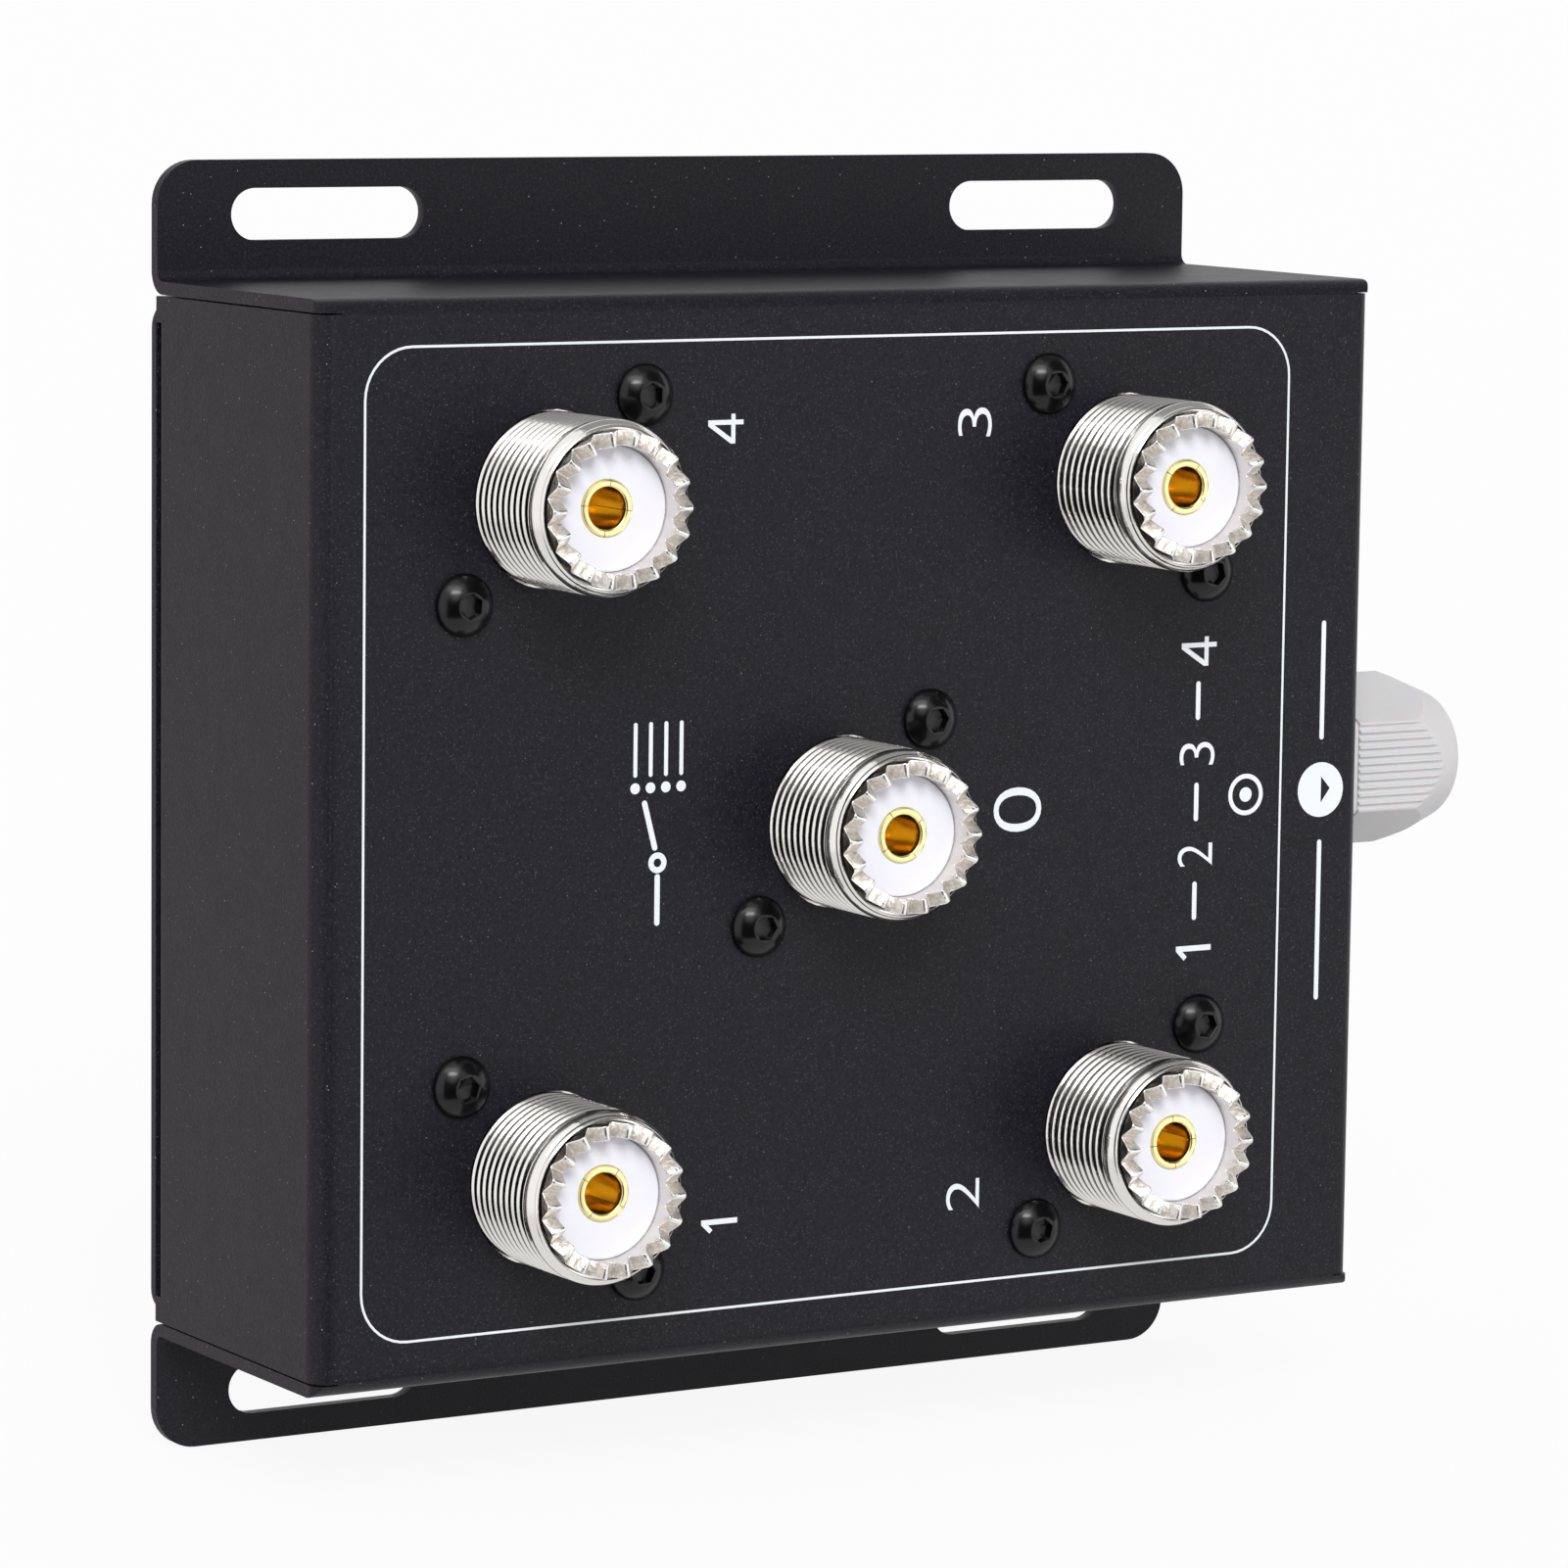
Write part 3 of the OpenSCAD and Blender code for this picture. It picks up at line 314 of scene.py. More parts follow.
def threaded_nickel():
    """Plating with streaks along the barrel, and painted shade in the thread's grooves."""
    # dull is the painted shade of the thread's grooves; bright is the plating
    dull, bright = (0.15, 0.14, 0.135, 1), (0.88, 0.86, 0.83, 1)
    groove_top, crest_foot = ROOT_R + 0.36, ROOT_R + 0.43
    material, n = new_material("threaded_nickel", (0.82, 0.80, 0.77), 0.14, metallic=1.0)
    grain = use_group(n, GRAIN, Size_mm=0.6)
    rings = use_group(n, TURNED, Ring_mm=0.09)
    # Below crest_foot the grooves get painted shade, apart from the rim and the bore
    crests = n.span(rings["Radius mm"], groove_top, crest_foot, 0.0, 1.0)
    rim = n.math("LESS_THAN", n.place()[1], -(THREAD_END_OUT + 0.2) * MM)
    bore = n.math("LESS_THAN", rings["Radius mm"], ROOT_R - 0.1)
    unshaded = n.math("MAXIMUM", n.math("MAXIMUM", crests, rim), bore)
    n.put(n.bsdf, "Base Color", n.mix(unshaded, dull, bright))
    mottled(n, grain, 0.10, 0.2)
    streaks = n.add("TexNoise", scale=1.0, detail=3.0, roughness=0.6)
    stretch = n.add("Mapping")
    n.put(stretch, 0, n.add("TexCoord").outputs["Object"])
    n.put(stretch, "Scale", (1 / MM, 60, 1 / MM))
    n.put(streaks, "Vector", stretch.outputs[0])
    first = bump(n, rings["Height"], 0.0012)
    bump(n, streaks.outputs[0], 0.03, first)
    return material


def crown_nickel():
    """Dull plating, worn bright along the teeth's edges, with painted shade on the outer wall and a painted
    reflection of the insulator on the bore wall.
    """
    dull_low, dull_high = (0.64, 0.595, 0.54, 1), (0.87, 0.825, 0.77, 1)
    polished = (0.97, 0.96, 0.94, 1)
    # wall_shade is painted shade on the outer wall behind the teeth; bore_reflection is a painted reflection
    # of the white insulator on the crown's bore
    wall_shade, bore_reflection = (0.36, 0.325, 0.29, 1), (0.74, 0.71, 0.68, 1)
    edge, skin = 0.1, 0.004
    material, n = new_material("crown_nickel", (0.6, 0.56, 0.5), 0.4, metallic=1.0)
    grain = use_group(n, GRAIN, Size_mm=0.3)
    radius = use_group(n, TURNED)["Radius mm"]
    shaded_wall = n.math("GREATER_THAN", radius, CROWN_R - skin)
    bore = n.math("LESS_THAN", radius, CROWN_BORE_R + skin)
    uneven = n.span(grain["Height"], NOISE_LOW, NOISE_HIGH, -0.04, 0.06)
    edges = n.math("MAXIMUM", n.math("GREATER_THAN", n.math("ADD", radius, uneven), CROWN_R - edge),
                   n.math("LESS_THAN", n.math("SUBTRACT", radius, uneven), CROWN_BORE_R + edge))
    height = n.math("ADD", n.math("DIVIDE", n.place()[1], -MM), uneven)
    worn = n.math("MAXIMUM", edges, n.math("GREATER_THAN", height, TIP_OUT - 0.12))
    dull = n.mix(n.span(grain["Height"], 0.35, 0.65, 0.0, 1.0), dull_low, dull_high)
    color = n.mix(shaded_wall, n.mix(worn, dull, polished), wall_shade)
    n.put(n.bsdf, "Base Color", n.mix(bore, color, bore_reflection))
    n.put(n.bsdf, "Roughness", n.span(worn, 0.0, 1.0, 0.45, 0.25))
    bump(n, grain["Height"], 0.05)
    return material


def contact_gold():
    """Plating that is pale on the rim, with painted shade, a deep orange, inside the bore."""
    pale, bore_shade = (1.0, 0.87, 0.42, 1), (0.88, 0.64, 0.14, 1)
    lip_l = 0.5
    material, n = new_material("contact_gold", (1.0, 0.86, 0.42), 0.2, metallic=1.0)
    grain = use_group(n, GRAIN, Size_mm=0.3)
    radius = use_group(n, TURNED)["Radius mm"]
    # The lip's inner face and the bore behind it get painted shade
    in_lip = n.span(radius, LIP_R - 0.02, LIP_R + 0.03, 1.0, 0.0)
    in_bore = n.math("LESS_THAN", radius, CONTACT_BORE_R + 0.02)
    behind = n.math("GREATER_THAN", n.place()[1], -(CONTACT_OUT - lip_l) * MM)
    shaded_inside = n.math("MAXIMUM", in_lip, n.math("MULTIPLY", in_bore, behind))
    n.put(n.bsdf, "Base Color", n.mix(shaded_inside, pale, bore_shade))
    bump(n, grain["Height"], 0.002)
    return material


def plain_metal(name, color, roughness, depth_mm=0.004, size_mm=0.3):
    """Metal with a slight grain, for the pieces inside the box."""
    material, n = new_material(name, color, roughness, metallic=1.0)
    grain = use_group(n, GRAIN, Size_mm=size_mm)
    mottled(n, grain, roughness * 0.8, roughness * 1.3)
    bump(n, grain["Height"], depth_mm)
    return material


def moulded(name, color, roughness, depth_mm=0.006, size_mm=0.4, **plain):
    """Moulded plastic, rubber, paint or ceramic with a slight mottle."""
    material, n = new_material(name, color, roughness, **plain)
    grain = use_group(n, GRAIN, Size_mm=size_mm)
    dark = tuple(channel * 0.94 for channel in color)
    n.put(n.bsdf, "Base Color", n.mix(grain["Mottle"], (*dark, 1), (*color, 1)))
    mottled(n, grain, roughness * 0.9, roughness * 1.1)
    bump(n, grain["Height"], depth_mm)
    return material


MATERIALS = {
    "black_powder_coat": powder_coat(),
    "black_oxide_steel": moulded("black_oxide", (0.0025, 0.0025, 0.003), 0.2, 0.004,
                                 Specular_IOR_Level=0.4),
    "nickel_plate": nickel("nickel_plate", (0.80, 0.78, 0.74), 0.13, 0.0012),
    "white_insulator": moulded("white_insulator", (0.86, 0.845, 0.915), 0.5, 0.002,
                               Subsurface_Weight=0.15, Subsurface_Scale=0.002),
    "gold_plate": contact_gold(),
    "zinc_plate": plain_metal("zinc_plate", (0.62, 0.63, 0.66), 0.35),
    "circuit_board": moulded("solder_mask", (0.02, 0.10, 0.04), 0.3),
    "black_moulding": moulded("black_moulding", (0.02, 0.02, 0.022), 0.5),
    "copper_wire": plain_metal("copper_wire", (0.72, 0.30, 0.12), 0.35, 0.02, 0.12),
    "soft_iron": plain_metal("soft_iron", (0.55, 0.55, 0.56), 0.4),
    "contact_brass": plain_metal("contact_brass", (0.80, 0.55, 0.28), 0.3),
    "relay_case": moulded("relay_case", (0.015, 0.06, 0.26), 0.4),
    "terminal_green": moulded("terminal_green", (0.01, 0.21, 0.05), 0.45),
    "ceramic_orange": moulded("ceramic_orange", (0.52, 0.20, 0.03), 0.35),
    "black_rubber": moulded("black_rubber", (0.015, 0.015, 0.015), 0.7),
    "natural_nylon": moulded("natural_nylon", (0.66, 0.65, 0.66), 0.42, 0.01, 0.6,
                             Subsurface_Weight=0.25, Subsurface_Scale=0.003),
}
THREADED_NICKEL, CROWN_NICKEL = threaded_nickel(), crown_nickel()
PRINT_WHITE = moulded("print_white", (0.83, 0.86, 0.89), 0.5, 0.003)


def dress_frame():
    """Gives every CAD node the finish of its material slot."""
    slots = {s["node"]: s["material_slot"] for s in frame["record"]["subparts"]}
    for name, node in frame["nodes"].items():
        node.data.materials.clear()
        node.data.materials.append(MATERIALS[slots[name]])


# How wide the rounded edges of the CAD pieces that show are
SOFT_EDGES = {"enclosure": 0.14, "rear_cover": 0.12, "cover_screws": 0.08, "gland_body": 0.2,
              "gland_dome_nut": 0.12, "gland_gasket": 0.15, "gland_seal": 0.2}
# Faces that meet at less than the first angle are joined, and edges over the second are rounded
FLAT_DEG, SHARP_DEG = 0.5, 30


def soften_frame():
    """Rounds the sharp edges of the CAD pieces that show."""
    for name, width_mm in SOFT_EDGES.items():
        node = frame["nodes"][name]
        weld = node.modifiers.new("weld", "WELD")
        weld.merge_threshold = 1e-6
        flat = node.modifiers.new("flat", "DECIMATE")
        flat.decimate_type, flat.angle_limit = "DISSOLVE", math.radians(FLAT_DEG)
        edges = node.modifiers.new("edges", "BEVEL")
        edges.width, edges.segments = width_mm * MM, 2
        edges.limit_method, edges.angle_limit = "ANGLE", math.radians(SHARP_DEG)
        shade = node.modifiers.new("shade", "WEIGHTED_NORMAL")
        shade.keep_sharp = True


# ---- Making pieces ----

# In metres: vertices closer than this are made one
MERGE_DISTANCE = 1e-7


def new_piece(name, mesh, material, at=(0, 0, 0), body="root"):
    """An object from mesh data, placed at a point in millimetres."""
    piece = bpy.data.objects.new(name, mesh)
    bpy.context.collection.objects.link(piece)
    piece.location = Vector(at) * MM
    if not mesh.materials:
        mesh.materials.append(material)
    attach(piece, body)
    return piece


def mesh_from(name, vertices, faces, smooth_deg=35):
    """Mesh data from vertices in millimetres, doubled ones merged and sharp edges marked."""
    bm = bmesh.new()
    made = [bm.verts.new(Vector(v) * MM) for v in vertices]
    for face in faces:
        if len(set(face)) > 2:
            bm.faces.new([made[i] for i in face])
    bmesh.ops.remove_doubles(bm, verts=bm.verts, dist=MERGE_DISTANCE)
    bmesh.ops.dissolve_degenerate(bm, dist=MERGE_DISTANCE, edges=bm.edges)
    bmesh.ops.recalc_face_normals(bm, faces=bm.faces)
    for face in bm.faces:
        face.smooth = True
    for edge in bm.edges:
        if len(edge.link_faces) == 2 and edge.calc_face_angle() > math.radians(smooth_deg):
            edge.smooth = False
    mesh = bpy.data.meshes.new(name)
    bm.to_mesh(mesh)
    bm.free()
    return mesh


def join_meshes(name, parts):
    """One mesh from several, each given as (mesh, offset in millimetres)."""
    bm = bmesh.new()
    for mesh, offset in parts:
        start = len(bm.verts)
        bm.from_mesh(mesh)
        bm.verts.ensure_lookup_table()
        bmesh.ops.translate(bm, verts=bm.verts[start:], vec=Vector(offset) * MM)
    joined = bpy.data.meshes.new(name)
    bm.to_mesh(joined)
    bm.free()
    return joined


def ring_point(radius, out, angle):
    """A point round the Y axis, a distance out from the front panel's plane."""
    return radius * math.sin(angle), -out, radius * math.cos(angle)


def quads(columns, rows, closed_turn=True, closed_profile=True):
    """Faces between neighbouring columns of vertices, which have equally many rows."""
    faces = []
    for c in range(columns if closed_turn else columns - 1):
        here, there = c * rows, (c + 1) % columns * rows
        for k in range(rows if closed_profile else rows - 1):
            up = (k + 1) % rows
            faces.append((here + k, here + up, there + up, there + k))
    return faces


def revolved(profile, columns=0, closed_profile=True, angles=None):
    """Vertices and faces of a profile of (radius, out), turned round Y.

    A radius may be a function of the angle. With angles given in place of
    columns, the turn is open and both its ends are capped.
    """
    full = angles is None
    if full:
        angles = [math.tau * c / columns for c in range(columns)]
    rows = len(profile)
    vertices = []
    for angle in angles:
        for radius, out in profile:
            r = radius(angle) if callable(radius) else radius
            vertices.append(ring_point(r, out, angle))
    faces = quads(len(angles), rows, full, closed_profile)
    if not full:
        faces.append(tuple(range(rows)))
        faces.append(tuple(range((len(angles) - 1) * rows, len(angles) * rows)))
    return vertices, faces


def arc(x, z, radius, start_deg, end_deg, steps):
    """Points on an arc of a circle, counted from the right and upwards."""
    angles = [math.radians(start_deg + (end_deg - start_deg) * k / steps) for k in range(steps + 1)]
    return [(x + radius * math.cos(a), z + radius * math.sin(a)) for a in angles]


def circle(x, z, radius, steps=32):
    return arc(x, z, radius, 0, 360, steps)[:-1]


def rounded_box(left, right, low, high, corner, steps=10):
    """The outline of a rectangle with rounded corners."""
    points = []
    for x, z, start in ((right - corner, high - corner, 0), (left + corner, high - corner, 90),
                        (left + corner, low + corner, 180), (right - corner, low + corner, 270)):
        points += arc(x, z, corner, start, start + 90, steps)
    return points


def taken_from(curve):
    """The mesh of a curve or text, turned to stand in the panel's plane."""
    drawn = bpy.data.objects.new("drawn", curve)
    bpy.context.collection.objects.link(drawn)
    mesh = bpy.data.meshes.new_from_object(drawn.evaluated_get(bpy.context.evaluated_depsgraph_get()))
    bpy.data.objects.remove(drawn)
    bm = bmesh.new()
    bm.from_mesh(mesh)
    bmesh.ops.remove_doubles(bm, verts=bm.verts, dist=MERGE_DISTANCE)
    bmesh.ops.recalc_face_normals(bm, faces=bm.faces)
    bm.to_mesh(mesh)
    bm.free()
    mesh.transform(Matrix.Rotation(math.pi / 2, 4, "X"))
    mesh.materials.clear()
    return mesh


def flat_cut(loops, low, high):
    """A plate cut to loops of (x, z) points, from one Y to another."""
    curve = bpy.data.curves.new("cut", "CURVE")
    curve.dimensions, curve.fill_mode = "2D", "BOTH"
    curve.extrude = (high - low) / 2 * MM
    for points in loops:
        spline = curve.splines.new("POLY")
        spline.points.add(len(points) - 1)
        for point, (x, z) in zip(spline.points, points):
            point.co = (x * MM, z * MM, 0, 1)
        spline.use_cyclic_u = True
    mesh = taken_from(curve)
    mesh.transform(Matrix.Translation((0, (low + high) / 2 * MM, 0)))
    return mesh


def merged(*parts):
    """Several (vertices, faces) as one."""
    vertices, faces = [], []
    for some_vertices, some_faces in parts:
        start = len(vertices)
        vertices += some_vertices
        faces += [tuple(i + start for i in face) for face in some_faces]
    return vertices, faces


# ---- Coaxial sockets ----

# One turn of thread: share of the pitch, share of the depth
THREAD_SHAPE = ((0, 1), (0.03, 0.99), (0.055, 0.955), (0.09, 0.90), (0.215, 0.715), (0.24, 0.65),
                (0.265, 0.57), (0.40, 0.09), (0.445, 0.015), (0.5, 0), (0.555, 0.015), (0.60, 0.09),
                (0.735, 0.57), (0.76, 0.65), (0.785, 0.715), (0.91, 0.90), (0.945, 0.955), (0.97, 0.99))
THREAD_COLUMNS = 120
# At the barrel's top, crests lie whole pitches out from a point this far behind the panel
THREAD_PHASE = 0.84
FADE_IN, FADE_OUT = 0.4, 0.45


def smoothstep(x):
    """A smooth rise from 0 to 1 as x goes from 0 to 1."""
    x = min(1.0, max(0.0, x))
    return x * x * (3 - 2 * x)


def thread_mesh():
    """The helical coupling thread, which fades out at both its ends."""
    steps = len(THREAD_SHAPE)
    turns = math.ceil((THREAD_END_OUT + THREAD_PHASE) / THREAD_PITCH) + 2
    rows = steps * turns + 1
    vertices = []
    for c in range(THREAD_COLUMNS + 1):
        angle = math.tau * c / THREAD_COLUMNS
        for k in range(rows):
            share, height = THREAD_SHAPE[k % steps]
            raw = THREAD_PITCH * (k // steps + share + c / THREAD_COLUMNS - 1) - THREAD_PHASE
            out = min(THREAD_END_OUT, max(BARREL_BACK_OUT, raw))
            fade = (smoothstep((out - BARREL_BACK_OUT) / FADE_IN)
                    * smoothstep((THREAD_END_OUT - out) / FADE_OUT))
            vertices.append(ring_point(ROOT_R + THREAD_DEPTH * height * fade, out, angle))
    return vertices, quads(THREAD_COLUMNS + 1, rows, closed_turn=False, closed_profile=False)


def barrel_mesh():
    """All that is turned round the thread: collar, shoulder, rim, step and bores."""
    shoulder = THREAD_END_OUT
    boss_out = -PANEL_T - FLANGE_T - BOSS_L
    neck_out = -PANEL_T - 0.1
    profile = [(ROOT_R, shoulder), (THREAD_R - 0.30, shoulder + 0.02), (THREAD_R - 0.07, shoulder + 0.18),
               (THREAD_R, shoulder + 0.27), (THREAD_R - 0.03, shoulder + 0.58),
               (PILOT_R + 0.10, RIM_OUT - 0.50), (PILOT_R + 0.03, RIM_OUT - 0.44),
               (PILOT_R, RIM_OUT - 0.38), (PILOT_R - 0.01, RIM_OUT - 0.22),
               (PILOT_R - 0.04, RIM_OUT - 0.17), (RIM_BORE_R + 0.08, RIM_OUT - 0.03),
               (RIM_BORE_R + 0.04, RIM_OUT), (RIM_BORE_R + 0.01, RIM_OUT - 0.04),
               (RIM_BORE_R, RIM_OUT - 0.1), (RIM_BORE_R, GROOVE_OUT), (CROWN_R - 0.05, GROOVE_OUT),
               (CROWN_BORE_R, GROOVE_OUT), (CROWN_BORE_R, INSULATOR_STEP_OUT),
               (CORE_BORE_R, INSULATOR_STEP_OUT), (CORE_BORE_R, boss_out),
               (BOSS_R - 0.2, boss_out), (BOSS_R, boss_out + 0.2),
               (BOSS_R, neck_out), (ROOT_R, neck_out), (ROOT_R, BARREL_BACK_OUT)]
    collar_r, collar_back = THREAD_R - 0.12, BARREL_BACK_OUT - 0.1
    collar = [(ROOT_R - 0.1, collar_back), (collar_r, collar_back), (collar_r, 0.02),
              (collar_r - 0.12, 0.16), (collar_r - 0.20, 0.22), (ROOT_R - 0.1, 0.42)]
    return merged(revolved(profile, THREAD_COLUMNS, closed_profile=False),
                  revolved(collar, THREAD_COLUMNS))


# One tooth from its notch's bottom to its tip: share of the half pitch, share of the depth
TOOTH_SHAPE = ((0.0, 0.0), (0.07, 0.02), (0.45, 0.5), (0.77, 0.90), (0.87, 0.975), (1.0, 1.0))
WEAR_SEED = 7


def crown_mesh():
    """The toothed crown: V notches across a ring, with worn, rounded edges."""
    wear = random.Random(WEAR_SEED)
    half_pitch = math.pi / CROWN_TEETH
    edge = 0.09
    # Across a tooth's top: radius, and how far below the top
    rings = ((CROWN_R, edge), (CROWN_R - 0.3 * edge, 0.3 * edge), (CROWN_R - edge, 0.0),
             (CROWN_BORE_R + edge, 0.0), (CROWN_BORE_R + 0.3 * edge, 0.3 * edge), (CROWN_BORE_R, edge))
    base, inner_base = GROOVE_OUT - 0.1, INSULATOR_OUT - 0.3
    rows = len(rings) + 2
    vertices = []
    for tooth in range(CROWN_TEETH):
        centre = 2 * half_pitch * (tooth + 0.5)
        tip = TIP_OUT - wear.uniform(0.0, 0.06)
        lean = wear.uniform(-0.02, 0.02)
        steps = [(-1, *point) for point in TOOTH_SHAPE[1:]] + [(1, *point) for point in TOOTH_SHAPE[-2::-1]]
        for side, share, height in steps:
            angle = centre + side * half_pitch * (1 - share) + lean * half_pitch * height
            out = tip - NOTCH_DEPTH * (1 - height)
            column = [ring_point(radius, out - drop, angle) for radius, drop in rings]
            vertices += [ring_point(CROWN_R, base, angle), *column,
                         ring_point(CROWN_BORE_R, inner_base, angle)]
    return vertices, quads(len(vertices) // rows, rows)


def flange_mesh():
    """The square flange with its four holes, and a bore inside the barrel."""
    outline = rounded_box(-FLANGE_HALF, FLANGE_HALF, -FLANGE_HALF, FLANGE_HALF, FLANGE_CORNER, steps=6)
    holes = [circle(x * HOLE_HALF, z * HOLE_HALF, HOLE_R) for x in (-1, 1) for z in (-1, 1)]
    bore = circle(0, 0, BOSS_R - 0.1, THREAD_COLUMNS)
    return flat_cut([outline, bore, *holes], PANEL_T, PANEL_T + FLANGE_T)


# Radius, and distance out
INSULATOR_PROFILE = (
    (2.57, 0.0), (2.57, INSULATOR_OUT - 0.07), (2.64, INSULATOR_OUT), (5.37, INSULATOR_OUT),
    (5.53, INSULATOR_OUT - 0.03), (5.62, INSULATOR_OUT - 0.12), (5.64, INSULATOR_OUT - 0.27),
    (5.64, INSULATOR_STEP_OUT + 0.01),
    (4.6, INSULATOR_STEP_OUT), (4.6, -4.5), (4.5, -4.6), (1.75, -4.6), (1.75, 0.0))
FINGERS, FINGER_STEPS = 4, 14
# How far each contact's slits are turned, in degrees, and how far it sits off the axis in X and Z
SLIT_TURN = {"1": 36, "2": -5, "3": 35, "4": 7, "feed": 56}
CONTACT_SHIFT = {"1": (-0.12, 0.38), "2": (-0.34, 0.0), "3": (-0.46, -0.02), "4": (-0.38, 0.04),
                 "feed": (0.0, 0.0)}


def contact_mesh():
    """The slit tube, its fingers with rounded lips, and the rear pin."""
    front = CONTACT_OUT
    lip = [(CONTACT_BORE_R, SLIT_END_OUT), (CONTACT_BORE_R, front - 1.6), (LIP_R, front - 0.9),
           (LIP_R, front - 0.2), (LIP_R + 0.04, front - 0.1), (LIP_R + 0.14, front - 0.01),
           (LIP_R + 0.2, front), (CONTACT_R - 0.16, front), (CONTACT_R - 0.05, front - 0.04),
           (CONTACT_R, front - 0.14), (CONTACT_R, SLIT_END_OUT)]
    half_slit = math.asin(SLIT_W / 2 / CONTACT_BORE_R)
    pitch = math.tau / FINGERS
    sweep = pitch - 2 * half_slit
    fingers = []
    for finger in range(FINGERS):
        start = pitch * finger + half_slit
        angles = [start + sweep * k / FINGER_STEPS for k in range(FINGER_STEPS + 1)]
        fingers.append(revolved(lip, angles=angles))
    body = [(0.0, BORE_FLOOR_OUT - 0.3), (CONTACT_BORE_R, BORE_FLOOR_OUT),
            (CONTACT_BORE_R, SLIT_END_OUT), (CONTACT_R, SLIT_END_OUT), (CONTACT_R, 0.1),
            (CONTACT_R - 0.1, 0.0), (PIN_R, 0.0), (PIN_R, PIN_END_OUT + 0.3),
            (PIN_R - 0.3, PIN_END_OUT), (0.0, PIN_END_OUT)]
    return merged(revolved(body, columns=4 * FINGER_STEPS, closed_profile=False), *fingers)


def shifted_bore(mesh, shift):
    """A copy of the insulator, its bore moved to a contact that sits off the axis."""
    moved = mesh.copy()
    bore_edge = (CONTACT_R + 0.5) * MM
    for v in moved.vertices:
        if math.hypot(v.co.x, v.co.z) < bore_edge:
            v.co += Vector((shift[0], 0, shift[1])) * MM
    return moved


def make_sockets():
    shell = mesh_from("socket_shell", *merged(thread_mesh(), barrel_mesh()), smooth_deg=40)
    shell = join_meshes("socket_shell", [(shell, (0, 0, 0)), (flange_mesh(), (0, 0, 0))])
    crown = mesh_from("socket_crown", *crown_mesh(), smooth_deg=48)
    insulator = mesh_from("insulator", *revolved(INSULATOR_PROFILE, columns=72), smooth_deg=40)
    contact = mesh_from("contact", *contact_mesh(), smooth_deg=40)
    for name in SOCKETS:
        x, z = socket_axis(name)
        at = (x, PANEL_Y, z)
        dx, dz = CONTACT_SHIFT[name]
        barrel = new_piece("barrel_" + name, shell, THREADED_NICKEL, at)
        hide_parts("socket_shell_" + name)
        new_piece("crown_" + name, crown, CROWN_NICKEL, at)
        white = new_piece("dielectric_" + name, shifted_bore(insulator, (dx, dz)),
                          MATERIALS["white_insulator"], at)
        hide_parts("insulator_" + name)
        gold = new_piece("centre_pin_" + name, contact, MATERIALS["gold_plate"],
                         (x + dx, PANEL_Y, z + dz))
        gold.rotation_euler.y = math.radians(SLIT_TURN[name])
        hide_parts("contact_" + name)


# ---- Screws beside the sockets ----

# Each socket's two screws lie on one diagonal: 1 rises to the right, -1 to the left
SCREW_DIAGONAL = {"1": -1, "2": 1, "3": -1, "4": 1, "feed": 1}
KEY_AF, KEY_DEPTH = 2.0, 1.0
SCREW_R, SCREW_L, SCREW_COLUMNS = 1.5, 8.0, 48
TURN_SEED = 3
# The button head: radius, and height over the panel
HEAD_PROFILE = ((2.70, 0.0), (2.82, 0.06), (2.85, 0.16), (2.85, 0.30), (2.78, 0.48),
                (2.62, 0.72), (2.38, 0.98), (2.05, 1.25), (1.70, 1.47), (1.42, 1.60), (1.28, 1.65))


def key_radius(angle):
    """Distance from the centre to the side of the hexagon socket."""
    sixth = math.pi / 3
    return KEY_AF / 2 / math.cos((angle % sixth) - sixth / 2)


def screw_mesh():
    """A button-head screw with a hexagon socket."""
    head_top = HEAD_PROFILE[-1][1]
    floor = head_top - KEY_DEPTH
    profile = [(0.0, -SCREW_L), (SCREW_R - 0.3, -SCREW_L), (SCREW_R, -SCREW_L + 0.3), (SCREW_R, 0.0),
               *HEAD_PROFILE,
               (lambda a: key_radius(a) + 0.07, head_top - 0.01), (key_radius, head_top - 0.09),
               (key_radius, floor), (0.0, floor - 0.3)]
    return revolved(profile, SCREW_COLUMNS, closed_profile=False)


def make_screws():
    screw = mesh_from("socket_screw", *screw_mesh())
    turns = random.Random(TURN_SEED)
    parts = []
    for name in SOCKETS:
        x, z = socket_axis(name)
        for side in (-1, 1):
            turned = screw.copy()
            turned.transform(Matrix.Rotation(turns.uniform(0, math.tau), 4, "Y"))
            parts.append((turned, (x + side * SCREW_DIAGONAL[name] * HOLE_HALF, PANEL_Y,
                                   z + side * HOLE_HALF)))
    piece = new_piece("panel_screws", join_meshes("panel_screws", parts),
                      MATERIALS["black_oxide_steel"])
    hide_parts("socket_screws")


# ---- Print on the front panel ----

PRINT_LOW, PRINT_HIGH = PANEL_Y - 0.02, PANEL_Y + 0.01
# The print reads upwards. Each number has a foot x, a left z, a width and a height.
NUMBERS = {"1": (-13.25, -37.33, 1.3, 3.83), "2": (13.2, -37.5, 2.9, 3.7),
           "3": (13.2, 35.2, 2.7, 3.7), "4": (-13.55, 35.3, 2.7, 3.7)}
FRAME_LEFT, FRAME_RIGHT, FRAME_LOW, FRAME_HIGH = -52.26, 46.84, -44.52, 44.86
FRAME_CORNER, FRAME_W = 4.8, 0.23
FEED_NUMBER = (19.4, -2.0, 4.2, 5.3)
# The row of numbers: each one's left z and width, and where the bars between them start
ROW_FOOT_X, ROW_H = 39.0, 4.0
ROW = {"1": (-15.5, 1.4), "2": (-6.5, 2.2), "3": (3.2, 2.2), "4": (12.7, 2.8)}
ROW_BAR_X, ROW_BAR_L, ROW_BARS = 37, 3.2, (-11.4, -1.9, 7.8)
SYMBOL_AT, SYMBOL_R, SYMBOL_DOT_R, SYMBOL_LINE = (42.7, 0.1), 2.0, 0.7, 0.45
